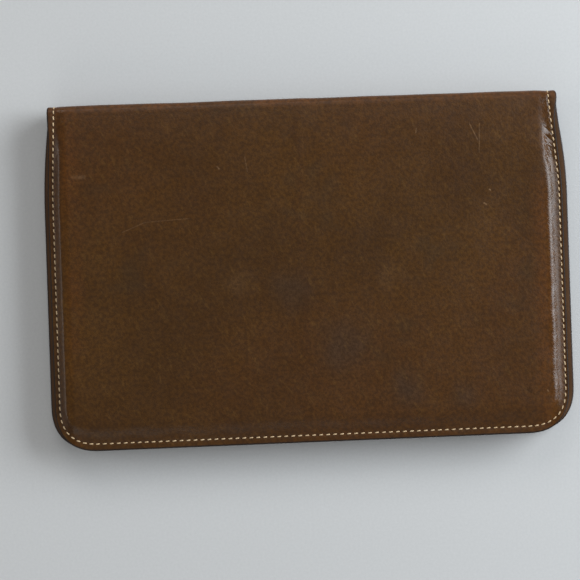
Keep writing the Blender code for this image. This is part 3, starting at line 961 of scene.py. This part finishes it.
def add_core(leaf, mats):
    """The foam and the board between the leather and the lining."""
    path = leaf.seam(outer_profile(), per_stitch=1)
    for kind, (inset, top, face, thickness, soft, slot) in CORE.items():
        x = path.x - path.out_x * inset * MM
        t = path.t - path.out_t * inset * MM
        kept = t < top * MM
        loops = [filled_in(np.stack([x[kept], t[kept]], axis=1), 3 * MM)]
        if leaf.mirrored and kind == "board":
            posts = [middle_of("snap_post_" + side) for side in SIDES]
            loops += [ring_of(post, 4.6 * MM)[::-1] for post in posts]

        def face_at(x, y, face=face * MM, soft=soft * MM):
            return face + 0.1 * soft * ripple(x, y, 41, 50 * MM)

        name = f"{leaf.name}_{kind}_inside"
        size = (soft * MM, 6 * MM)
        piece = add_panel(name, leaf, loops, face_at, thickness * MM, mats, slot, *size)
        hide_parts(f"{leaf.name}_{kind}")


def add_pocket(name, leaf, mats, mouth, lift, holes=(), hole_loops=(), reach=6 * MM):
    """A pocket's panel with its rows of stitches, in place of the CAD's."""
    low, high = node_box(name)
    front_at = pocket_front(low, high, mouth, lift, holes)
    outline = rounded_box(low, high, 7 * MM, 1 * MM if mouth else 7 * MM)
    loops = [outline, *(loop[::-1] for loop in hole_loops)]
    made_of = (POCKET_LEATHER, mats, "pocket_leather")
    panel = add_panel(name + "_leather", leaf, loops, front_at, *made_of, reach=reach)
    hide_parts(name)
    lines = [sewn_line(low, high, SEWN_IN, 5 * MM, mouth)]
    for centre, size in holes:
        lines.append(sewn_line(*box_corners(centre, size), -SEWN_IN, 5 * MM, False))
    add_row(name + "_seam", leaf, lines, front_at, mats)


def card_front(low, high, bend, rise):
    """The depth of a card strip's face, which leans out from its bend up to its mouth."""

    def front_at(x, y):
        side = from_rim(x, y, (low[0], -1), (high[0], 1))
        up = np.clip((y - bend) / (high[1] - bend), 0, 1)
        sewn = 0.2 * MM * (1 - ramp(side, 2.5 * MM, 7 * MM))
        depth = POCKET_DEPTH + CARD_LEATHER + rise * up - sewn
        depth = depth + 0.05 * MM * up * ripple(x, y, 5, 45 * MM)
        return depth - pressed_line(high[1] - y - CARD_CREASE, 0.3 * MM, 0.10 * MM)

    return front_at


def add_card_slots(leaf, mats):
    """Four shingled strips and the longer pocket below them, sewn down each side."""
    strips = []
    for name in [f"card_slot_{slot}" for slot in (1, 2, 3, 4)] + ["card_pocket"]:
        low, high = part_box(name)
        rise = high[2] - low[2] - CARD_LEATHER
        bend = low[1] if name != "card_pocket" else high[1] - 18 * MM
        front_at = card_front(low, high, bend, rise)
        strips.append((low, high, front_at))
        loop = rounded_box(low, high, 0.8 * MM, 0.8 * MM)
        made_of = (CARD_LEATHER, mats, "pocket_leather", 0.22 * MM)
        strip = add_panel(name + "_leather", leaf, [loop], front_at, *made_of)
        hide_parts(name)

    def topmost(x, y):
        depths = [front_at(x, y) for low, high, front_at in strips if low[1] <= y <= high[1]]
        return max(depths) - 0.05 * MM

    low, high = strips[-1][0], strips[0][1]
    left, right = low[0] + SEWN_IN, high[0] - SEWN_IN
    bottom, top = low[1] + SEWN_IN, high[1] - 1.2 * MM
    rows = np.arange(top, bottom, -1 * MM)
    lines = [np.array([(x, y) for y in rows]) for x in (left, right)]
    lines.append(np.array([(left, bottom), (right, bottom)]))
    add_row("card_slots_seam", leaf, lines, topmost, mats)


def add_window(leaf, mats):
    """The clear film behind the passport pocket's opening."""
    low, high = node_box("id_window")
    loop = rounded_box(low, high, 3 * MM, 3 * MM)

    def front_at(x, y):
        return FILM_FACE + 0.05 * MM * ripple(x, y, 8, 30 * MM)

    made_of = (0.25 * MM, mats, "clear_vinyl", 0.08 * MM, 3 * MM)
    film = add_panel("id_window_film", leaf, [loop], front_at, *made_of)
    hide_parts("id_window")


def snap_profiles():
    """Each snap part's depth, and its section as (radius, height), in millimetres."""
    cap = [(1.2, -0.9), (1.2, -0.05), *arc((5.2, 0.05), (0.4, 0.28), -90, 60)]
    cap += [(4.6, 0.40), (4.0, 0.36), *arc((0, 0.1), (3.6, 0.5), 20, 90, 8)]
    socket = [(2.1, -0.45), (2.1, 0.0), (2.35, 0.06), (3.6, 0.06), (4.1, -0.1)]
    socket += [(4.4, -0.3), (4.4, -0.85), (4.1, -0.9), (2.4, -0.9)]
    stud = [(4.1, -0.38), (4.4, -0.30), (4.4, -0.05), (4.1, 0.05), (1.7, 0.08)]
    stud += [(1.35, 0.25), (1.3, 0.5), *arc((1.15, 0.8), (0.5, 0.22), -60, 60)]
    stud += arc((0, 0.9), (1.3, 0.3), 25, 90)
    post = [(3.8, -0.62), (4.1, -0.5), (4.1, -0.1), (3.9, 0.0), (1.0, 0.05)]
    post += [(0.9, 0.3), (0.9, 1.0), (0.6, 1.1)]
    socket.reverse()
    return {"cap": (8.25, cap), "socket": (6.85, socket), "stud": (5.6, stud), "post": (3.75, post)}


def add_snap(side, leaf, mats):
    """Cap and socket on the pocket, stud and post on the leaf, each turned from sheet brass."""
    middle = middle_of("snap_cap_" + side)
    for kind, (depth, profile) in snap_profiles().items():
        name = f"snap_{kind}_{side}"
        solid = turned(profile, middle, leaf.height(depth * MM), -1, closed=kind == "socket")
        piece = add_piece(name + "_brass", *solid, mats, "brass", leaf.name, sharp=35)
        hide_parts(name)


def add_teeth(leaf, mats):
    """Meshed teeth, drawn as half an outline in millimetres from the line between the tapes."""
    low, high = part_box("zip_chain")
    middle = (low[1] + high[1]) / 2
    half = [(0.42, 2.45), (0.42, 1.3), (0.30, 0.75), (0.40, 0.25), (0.43, -0.35)]
    half += [(0.36, -0.65), (0.2, -0.85)]
    outline = [(-w, h) for w, h in half] + [(w, h) for w, h in half[::-1]]
    count = int((high[0] - low[0]) / TOOTH_PITCH)
    first = (low[0] + high[0] - TOOTH_PITCH * (count - 1)) / 2
    teeth = []
    for index in range(count):
        side = 1 if index % 2 else -1
        x = first + index * TOOTH_PITCH
        loop = np.array([(x + w * side * MM, middle + h * side * MM) for w, h in outline])
        teeth.append(plate(loop, low[2], high[2], 0.16 * MM))
    chain = add_piece("zip_teeth", *joined(teeth), mats, "brass", leaf.name)
    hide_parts("zip_chain")


def add_zip(leaf, mats):
    """Woven tapes, teeth and end stops behind the slot."""
    add_teeth(leaf, mats)
    middle = middle_of("zip_chain")[1]

    def front_at(x, y):
        return TAPE_FACE + 0.25 * MM * hump(np.abs(y - middle) - 3.1 * MM, 0.5 * MM)

    for name in ("upper", "lower"):
        (left, bottom), (right, top) = node_box("zip_tape_" + name)
        under_teeth = 0.45 * MM
        if name == "upper":
            bottom -= under_teeth
        else:
            top += under_teeth
        loop = rounded_box((left, bottom), (right, top), 0.4 * MM, 0.4 * MM)
        made_of = (0.5 * MM, mats, "zip_tape", 0.15 * MM)
        tape = add_panel(f"zip_tape_{name}_woven", leaf, [loop], front_at, *made_of)
        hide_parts("zip_tape_" + name)
    for side in SIDES:
        name = "zip_stop_" + side
        low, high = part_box(name)
        solid = plate(rounded_box(low, high, 0.5 * MM, 0.5 * MM), low[2], high[2], 0.3 * MM)
        stop = add_piece(name + "_brass", *solid, mats, "brass", leaf.name)
        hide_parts(name)


def add_slider(leaf, mats):
    """The slider astride the teeth, with the post that its pull turns on."""
    x, y = middle_of("zip_slider")
    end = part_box("zip_slider")[1][2]
    top = leaf.height(7.2 * MM)
    shield = [(4.5, 1.6), (3.9, 2.9), (1.5, 3.8), (-2.0, 3.7), (-4.1, 2.9), (-4.5, 1.6)]
    shield = [(w, -h) for w, h in shield[::-1]] + shield
    outline = filled_in(np.array([(x + w * MM, y + h * MM) for w, h in shield]))
    solids = [plate(outline, top - 0.8 * MM, top, 0.25 * MM)]
    for side in (-1, 1):
        middle = (x - 0.4 * MM, y + side * 3.3 * MM)
        rail = centred_box(middle, (6.6 * MM, 0.9 * MM), 0.3 * MM)
        solids.append(plate(rail, top - 0.1 * MM, end, 0.12 * MM))
    post = [(1.3, 0.0), (1.3, 1.5), *arc((0, 1.5), (1.45, 0.3), 0, 90)]
    solids.append(turned(post, (x, y), top - 0.7 * MM, -1))
    slider = add_piece("zip_slider_brass", *joined(solids), mats, "brass", "slider", sharp=35)
    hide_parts("zip_slider")


def add_pull(leaf, mats):
    """The tab that turns on the slider's post, with a hole in its far end."""
    x, y = middle_of("zip_slider")
    low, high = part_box("zip_pull")
    eye = ring_of((x, y), 1.7 * MM)[::-1]
    hole = ring_of((x - 14.5 * MM, y), 1.1 * MM, 16)[::-1]
    loops = [pull_outline(x, y, low[0]), eye, hole]

    def front_at(px, py):
        run = px - x + 7 * MM
        inside = np.hypot(np.clip(run, -5 * MM, 5 * MM) - run, py - y)
        return leaf.height(low[2]) - 0.14 * MM * hump(inside, 1.3 * MM)

    made_of = (high[2] - low[2], mats, "brass", 0.3 * MM, 0.8 * MM, 0.5 * MM)
    pull = add_panel("zip_pull_brass", leaf, loops, front_at, *made_of)
    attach(pull, "pull")
    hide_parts("zip_pull")


def pull_outline(x, y, end):
    """Round at its eye, drawn in along its neck, and round again at its end."""
    radius = 3.0 * MM
    length = x - end - radius
    shares = np.linspace(0.08, 0.9, 9)
    points = arc((x, y), (radius, radius), -80, 80, 15)
    points += [(x - length * share, y + neck(share)) for share in shares]
    points += arc((x - length, y), (radius, radius), 100, 260, 15)
    points += [(x - length * share, y - neck(share)) for share in shares[::-1]]
    return filled_in(np.array(points), 0.8 * MM)


def neck(share):
    """Half the pull's width, at a share of its length."""
    return 2.9 * MM - 1.1 * MM * math.sin(math.pi * share) ** 2


def add_spine_board(mats):
    """The strip that stiffens the fold, between its leather and its lining."""
    low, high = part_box("spine_board")
    size = (2 * (high[0] - 4 * MM), high[1] - low[1])
    outline = centred_box((0, (low[1] + high[1]) / 2), size, 0.3 * MM)
    solid = plate(outline, low[2], high[2], 0.15 * MM)
    board = add_piece("spine_board_inside", *solid, mats, "stiffener_board", "spine")
    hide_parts("spine_board")


# Materials


class Nodes:
    """A short way to write node trees."""

    def __init__(self, name):
        self.material = bpy.data.materials.new(name)
        self.material.use_nodes = True
        self.tree = self.material.node_tree
        self.shader = self.tree.nodes["Principled BSDF"]

    def add(self, kind, inputs, **settings):
        """A new node's outputs. Each of its inputs takes a value or another node's output."""
        node = self.tree.nodes.new("ShaderNode" + kind)
        for key, value in settings.items():
            setattr(node, key, value)
        self.fill(node, inputs)
        return node.outputs

    def fill(self, node, inputs):
        for key, value in inputs.items():
            socket = node.inputs[key]
            if isinstance(value, bpy.types.NodeSocket):
                self.tree.links.new(value, socket)
            else:
                socket.default_value = value

    def rest(self):
        return self.add("Attribute", {}, attribute_name="rest")["Vector"]

    def edge_paint(self):
        return self.add("Attribute", {}, attribute_name="edge")["Fac"]

    def noise(self, place, scale, detail=3.0, roughness=0.55, distortion=0.0):
        inputs = {"Vector": place, "Scale": scale, "Detail": detail}
        inputs.update({"Roughness": roughness, "Distortion": distortion})
        return self.add("TexNoise", inputs)["Fac"]

    def noise_vector(self, place, scale):
        colours = self.add("TexNoise", {"Vector": place, "Scale": scale})["Color"]
        return self.vector("SUBTRACT", colours, (0.5, 0.5, 0.5))

    def voronoi(self, place, scale):
        return self.add("TexVoronoi", {"Vector": place, "Scale": scale}, feature="F1")["Distance"]

    def math(self, operation, a, b=0.0, clamp=False):
        return self.add("Math", {0: a, 1: b}, operation=operation, use_clamp=clamp)[0]

    def product(self, *values):
        result = values[0]
        for value in values[1:]:
            result = self.math("MULTIPLY", result, value)
        return result

    def vector(self, operation, a, b=(0, 0, 0), scale=None):
        inputs = {0: a, 1: b}
        if scale is not None:
            inputs["Scale"] = scale
        outputs = self.add("VectorMath", inputs, operation=operation)
        return outputs["Value" if operation in ("DISTANCE", "DOT_PRODUCT") else "Vector"]

    def between(self, value, low, high, to_low=0.0, to_high=1.0):
        inputs = {"Value": value, "From Min": low, "From Max": high}
        inputs.update({"To Min": to_low, "To Max": to_high})
        return self.add("MapRange", inputs, interpolation_type="SMOOTHSTEP")["Result"]

    def mix(self, share, a, b):
        return self.add("Mix", {"Factor": share, "A": a, "B": b}, data_type="RGBA")["Result"]

    def turn(self, place, angle):
        return self.add("Mapping", {"Vector": place, "Rotation": (0, 0, angle)})["Vector"]

    def parts(self, place):
        return self.add("SeparateXYZ", {0: place})

    def bump(self, height, strength, distance, before=None):
        inputs = {"Strength": strength, "Distance": distance, "Height": height}
        if before:
            inputs["Normal"] = before
        return self.add("Bump", inputs)["Normal"]

    def set(self, **sockets):
        names = {"colour": "Base Color", "specular": "Specular IOR Level"}
        inputs = {names.get(key, key.capitalize()): value for key, value in sockets.items()}
        self.fill(self.shader, inputs)
        return self.material


def colour(r, g, b):
    return (r, g, b, 1)


def scratch(n, place, start, end, width):
    """A mask that is 1 along a thin line from start to end, given in millimetres."""
    first = Vector((start[0] * MM, start[1] * MM, 0))
    step = Vector((end[0] * MM, end[1] * MM, 0)) - first
    flat = n.vector("MULTIPLY", place, (1, 1, 0))
    away = n.vector("SUBTRACT", flat, tuple(first))
    along = n.vector("DOT_PRODUCT", away, tuple(step))
    share = n.math("DIVIDE", along, step.length_squared, clamp=True)
    nearest = n.vector("SCALE", tuple(step), scale=share)
    distance = n.vector("DISTANCE", away, nearest)
    return n.between(distance, 0.0, width * MM, 1.0, 0.0)


def spot(n, place, centre, radius):
    """A soft round mask, given in millimetres."""
    flat = n.vector("MULTIPLY", place, (1, 1, 0))
    distance = n.vector("DISTANCE", flat, (centre[0] * MM, centre[1] * MM, 0))
    return n.between(distance, 0.0, radius * MM, 1.0, 0.0)


def cover_material():
    """Waxed pull-up leather: mottled chestnut, worn redder at the fold, with a fine pebbled grain."""
    n = Nodes("cover_leather")
    place = n.rest()
    x, y, z = n.parts(place)
    front = n.between(z, 7.9 * MM, 8.1 * MM)
    side = n.math("ABSOLUTE", x)
    warped = n.vector("ADD", place, n.vector("SCALE", n.noise_vector(place, 60), scale=0.012))
    painted = n.edge_paint()
    base = marks_and_painted_light(n, mottled(n, place, warped), place, warped, front)
    base = worn(n, base, place, y, side)
    # Dark edge paint, which near the leaf's rim is also painted shadow along the edge
    base = n.mix(painted, base, colour(0.006, 0.003, 0.002))
    right_of_crest = n.between(side, 102.5 * MM, 104.5 * MM)
    burnished = n.product(right_of_crest, n.between(side, 108.4 * MM, 106.2 * MM), 0.18)
    rough = n.between(n.noise(place, 140, 3), 0.3, 0.7, 0.40, 0.47)
    rough = n.math("SUBTRACT", rough, burnished)
    rough = n.math("ADD", rough, n.math("MULTIPLY", painted, 0.25))
    normal = cover_relief(n, place, x, y, front)
    return n.set(colour=base, roughness=rough, normal=normal, specular=0.28)


def mottled(n, place, warped):
    """The dye's own unevenness, in patches of a few centimetres."""
    mottle = n.noise(warped, 22, 4, 0.6)
    dark, light = colour(0.056, 0.0215, 0.0022), colour(0.080, 0.0320, 0.0034)
    base = n.mix(n.between(mottle, 0.3, 0.72), dark, light)
    cloud = n.noise(place, 9, 2, 0.5)
    base = n.mix(n.between(cloud, 0.35, 0.7, 0, 0.5), base, colour(0.070, 0.0225, 0.0034))
    blot = n.between(n.noise(warped, 34, 3, 0.5), 0.60, 0.74, 0, 0.35)
    return n.mix(blot, base, colour(0.036, 0.021, 0.007))


def marks_and_painted_light(n, base, place, warped, front):
    """The front leaf's stains and scratches, with painted highlight and rubbed wear on the spots over
    the snaps, and painted shade along its creased ridge.
    """
    for centre, radius, share in STAINS:
        mask = n.product(spot(n, warped, centre, radius), share, front)
        base = n.mix(mask, base, colour(0.036, 0.027, 0.020))
    # Painted highlight with rubbed wear: lighter spots over the snap bumps
    for centre, radius, share in RUBBED_SPOTS_AND_HIGHLIGHT:
        mask = n.product(spot(n, warped, centre, radius), share, front)
        base = n.mix(mask, base, colour(0.125, 0.062, 0.020))
    # Painted shade: a darker line down the front leaf's soft ridge
    crease_shade = n.product(scratch(n, warped, *CREASE_SHADE), 0.22, front)
    base = n.mix(crease_shade, base, colour(0.040, 0.012, 0.002))
    for start, end, width, strength in SCRATCHES:
        mask = n.product(scratch(n, place, start, end, width), strength, front)
        base = n.mix(mask, base, colour(0.27, 0.155, 0.075))
    return base


def worn(n, base, place, y, side):
    """Redder at the fold and the shoulders, then rubbed and streaked, with dark pores."""
    fold = n.between(y, 70 * MM, 74.8 * MM)
    patchy = n.math("ADD", 0.35, n.between(n.noise(place, 90, 4), 0.4, 0.65, 0, 0.4))
    base = n.mix(n.math("MULTIPLY", fold, patchy), base, colour(0.135, 0.043, 0.0065))
    shoulder = n.product(n.between(side, 95 * MM, 102 * MM), n.between(side, 107 * MM, 103 * MM))
    warm = n.product(shoulder, n.between(n.noise(place, 30, 3), 0.35, 0.65, 0, 0.5))
    base = n.mix(warm, base, colour(0.115, 0.036, 0.0035))
    rubbed = n.noise(n.vector("MULTIPLY", place, (1, 0.3, 1)), 380, 2, 0.5, 0.6)
    base = n.mix(n.between(rubbed, 0.66, 0.78, 0, 0.22), base, colour(0.15, 0.070, 0.018))
    slanted = n.vector("MULTIPLY", n.turn(place, math.radians(-32)), (1, 0.22, 1))
    streaks = n.noise(slanted, 720, 3, 0.6)
    base = n.mix(n.between(streaks, 0.52, 0.74, 0, 0.30), base, colour(0.130, 0.062, 0.012))
    pores = n.noise(place, 620, 3, 0.65)
    return n.mix(n.between(pores, 0.34, 0.66, 0.55, 0), base, colour(0.024, 0.0085, 0.0010))


def cover_relief(n, place, x, y, front):
    """Pebbled grain, and fine creases where the front leaf is pulled in at its upper right."""
    normal = n.bump(n.voronoi(place, 1100), 0.26, 0.0002)
    normal = n.bump(n.noise(place, 2000, 3, 0.6), 0.25, 0.0001, normal)
    normal = n.bump(n.noise(place, 420, 4, 0.6), 0.14, 0.0003, normal)
    across = n.product(n.between(x, 103 * MM, 105.5 * MM), n.between(x, 109 * MM, 107.5 * MM))
    along = n.product(n.between(y, 42 * MM, 47 * MM), n.between(y, 62 * MM, 55 * MM))
    slanted = n.vector("MULTIPLY", n.turn(place, math.radians(38)), (0.2, 1, 1))
    folds = n.product(n.noise(slanted, 640, 1, 0.5), across, along, front)
    return n.bump(folds, 0.7, 0.0010, normal)


def thread_material():
    n = Nodes("ecru_thread")
    place = n.rest()
    strands = {"Vector": place, "Scale": 900}
    twist = n.add("TexWave", strands, wave_type="BANDS", bands_direction="DIAGONAL")["Fac"]
    base = n.mix(n.noise(place, 300, 2), colour(0.46, 0.31, 0.16), colour(0.66, 0.50, 0.31))
    return n.set(colour=base, roughness=0.7, normal=n.bump(twist, 0.5, 0.0001))


def smooth_leather(name, colours, grain, roughness):
    """Vegetable-tanned leather inside: even, finely grained, darker at its painted edges."""
    n = Nodes(name)
    place = n.rest()
    dark, light, rubbed = (colour(*values) for values in colours)
    base = n.mix(n.between(n.noise(place, 26, 4, 0.6), 0.3, 0.7), dark, light)
    base = n.mix(n.between(n.noise(place, 70, 3, 0.6), 0.58, 0.75, 0, 0.35), base, rubbed)
    base = n.mix(n.between(n.noise(place, 1100, 3, 0.65), 0.36, 0.64, 0.22, 0), base, dark)
    base = n.mix(n.edge_paint(), base, colour(0.016, 0.0075, 0.0045))
    normal = n.bump(n.voronoi(place, grain), 0.22, 0.00014)
    normal = n.bump(n.noise(place, 2 * grain, 3, 0.6), 0.2, 0.00008, normal)
    rough = n.between(n.noise(place, 180, 3), 0.3, 0.7, roughness - 0.05, roughness + 0.05)
    return n.set(colour=base, roughness=rough, normal=normal, specular=0.35)


def foam_material():
    n = Nodes("pad_foam")
    place = n.rest()
    cells = n.voronoi(place, 1400)
    base = n.mix(n.between(cells, 0.1, 0.6), colour(0.36, 0.33, 0.26), colour(0.62, 0.58, 0.48))
    return n.set(colour=base, roughness=0.95, normal=n.bump(cells, 0.6, 0.0002))


def board_material():
    n = Nodes("stiffener_board")
    place = n.rest()
    fibres = n.noise(n.vector("MULTIPLY", place, (0.35, 1, 1)), 900, 4, 0.65)
    base = n.mix(fibres, colour(0.30, 0.25, 0.19), colour(0.46, 0.40, 0.31))
    return n.set(colour=base, roughness=0.9, normal=n.bump(fibres, 0.25, 0.0001))


def tape_material():
    """Herringbone tape: fine ribs that change their lean every 0.6 mm."""
    n = Nodes("zip_tape")
    place = n.rest()
    x, y, _ = n.parts(place)
    zigzag = n.math("PINGPONG", y, 0.6 * MM)
    ribs = n.math("SINE", n.math("MULTIPLY", n.math("ADD", x, zigzag), math.tau / (0.5 * MM)))
    height = n.math("MULTIPLY", ribs, 0.5)
    base = n.mix(n.between(ribs, -1, 1), colour(0.020, 0.012, 0.008), colour(0.060, 0.038, 0.024))
    return n.set(colour=base, roughness=0.85, normal=n.bump(height, 0.6, 0.0001))


def film_material():
    n = Nodes("clear_vinyl")
    place = n.rest()
    haze = n.noise(place, 60, 3)
    base = n.mix(haze, colour(0.62, 0.64, 0.62), colour(0.78, 0.79, 0.76))
    rough = n.between(haze, 0.3, 0.7, 0.08, 0.16)
    normal = n.bump(haze, 0.15, 0.0006)
    return n.set(colour=base, roughness=rough, normal=normal, specular=0.5, alpha=0.32)


def brass_material():
    """Old brass: warm, softly brushed, with brown tarnish in patches."""
    n = Nodes("brass")
    place = n.rest()
    tarnish = n.between(n.noise(place, 240, 5, 0.65), 0.42, 0.68)
    base = n.mix(tarnish, colour(0.66, 0.44, 0.16), colour(0.34, 0.20, 0.075))
    rough = n.between(n.noise(place, 900, 3), 0.3, 0.7, 0.24, 0.40)
    normal = n.bump(n.noise(place, 3000, 2), 0.06, 0.00005)
    return n.set(colour=base, roughness=rough, normal=normal, metallic=1.0)


def all_materials():
    """The materials, by slot."""
    dark, light, worn_to = (0.070, 0.030, 0.0085), (0.098, 0.043, 0.0125), (0.13, 0.058, 0.018)
    lining = smooth_leather("lining_leather", (dark, light, worn_to), 1300, 0.47)
    dark, light, worn_to = (0.105, 0.043, 0.0115), (0.145, 0.060, 0.0165), (0.19, 0.085, 0.027)
    pocket = smooth_leather("pocket_leather", (dark, light, worn_to), 1100, 0.43)
    return {
        "cover_leather": cover_material(),
        "thread": thread_material(),
        "lining_leather": lining,
        "pocket_leather": pocket,
        "pad_foam": foam_material(),
        "stiffener_board": board_material(),
        "zip_tape": tape_material(),
        "clear_vinyl": film_material(),
        "brass": brass_material(),
    }


# Room


def add_camera():
    data = bpy.data.cameras.new("camera")
    data.sensor_width = 36
    data.lens = data.sensor_width * (CAMERA_HEIGHT - THICKNESS) / VIEW_WIDTH
    camera = bpy.data.objects.new("camera", data)
    camera.location = (CAMERA_X, CAMERA_Y, CAMERA_HEIGHT)
    camera.rotation_euler = (0, 0, CAMERA_ROLL)
    bpy.context.scene.collection.objects.link(camera)
    bpy.context.scene.camera = camera


def add_area_light(name, place, size, power, tint):
    """A rectangle of light, turned towards the folio."""
    data = bpy.data.lights.new(name, "AREA")
    data.shape = "RECTANGLE"
    data.size, data.size_y = size
    data.energy = power
    data.color = tint
    light = bpy.data.objects.new(name, data)
    light.location = place
    light.rotation_euler = (-Vector(place)).to_track_quat("-Z", "Y").to_euler()
    bpy.context.scene.collection.objects.link(light)


def add_room():
    """A plain pale floor, a faint sky and the lights."""
    half = FLOOR_HALF
    corners = [(-half, -half, 0), (half, -half, 0), (half, half, 0), (-half, half, 0)]
    floor = add_piece("floor", corners, [(0, 1, 2, 3)])
    n = Nodes("floor")
    shade = n.noise(n.rest(), 900, 2)
    base = n.mix(shade, colour(0.53, 0.535, 0.53), colour(0.60, 0.605, 0.60))
    floor.data.materials.append(n.set(colour=base, roughness=0.9))
    world = bpy.data.worlds.new("world")
    world.use_nodes = True
    background = world.node_tree.nodes["Background"]
    background.inputs["Color"].default_value = (0.93, 0.96, 1.0, 1)
    background.inputs["Strength"].default_value = 0.25
    bpy.context.scene.world = world
    for name, (place, size, power, tint) in LIGHTS.items():
        add_area_light(name, place, size, power, tint)
    bpy.context.scene.view_settings.view_transform = "Standard"


def add_leaf(leaf, mats):
    """One leaf's leather, lining and seams, which bend round the fold, and what lies between them."""
    cover = add_cover(leaf, mats)
    seam = add_stitches(leaf, outer_profile(), leaf.name + "_seam_outside", mats)
    lining, inner_seam = add_lining(leaf, mats)
    for piece in (cover, seam, lining, inner_seam):
        if leaf.mirrored:
            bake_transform(piece)
        else:
            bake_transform(piece)
    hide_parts(leaf.name + "_cover")
    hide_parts(leaf.name + "_stitching")
    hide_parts(leaf.name + "_lining")
    add_core(leaf, mats)
    return cover, lining


def add_back_pockets(leaf, mats):
    add_card_slots(leaf, mats)
    window = (middle_of("id_window"), (64 * MM, 40 * MM))
    opening = centred_box(*window, 3 * MM)
    add_pocket("passport_pocket", leaf, mats, True, 0.8 * MM, [window], [opening])
    add_window(leaf, mats)


def add_front_pockets(leaf, mats):
    snaps = [ring_of(middle_of("snap_cap_" + side), 1.6 * MM) for side in SIDES]
    add_pocket("ticket_pocket", leaf, mats, True, 1.95 * MM, hole_loops=snaps, reach=3.2 * MM)
    slot = (middle_of("zip_chain"), (180 * MM, 11 * MM))
    opening = centred_box(*slot, 2 * MM)
    add_pocket("zip_pocket", leaf, mats, False, 1.0 * MM, [slot], [opening])
    for side in SIDES:
        add_snap(side, leaf, mats)
    add_zip(leaf, mats)
    add_slider(leaf, mats)
    add_pull(leaf, mats)


def main():
    add_camera()
    add_room()
    mats = all_materials()
    back = Leaf("back", 112.2 * MM, (3.0 * MM, 3.1 * MM, 3.0 * MM), mirrored=False)
    front = Leaf("front", 110 * MM, (2.2 * MM, 3.1 * MM, 1.5 * MM), mirrored=True)
    cover, lining = add_leaf(back, mats)
    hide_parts("spine_cover")
    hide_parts("spine_lining")
    add_leaf(front, mats)
    add_spine_board(mats)
    add_back_pockets(back, mats)
    add_front_pockets(front, mats)


main()
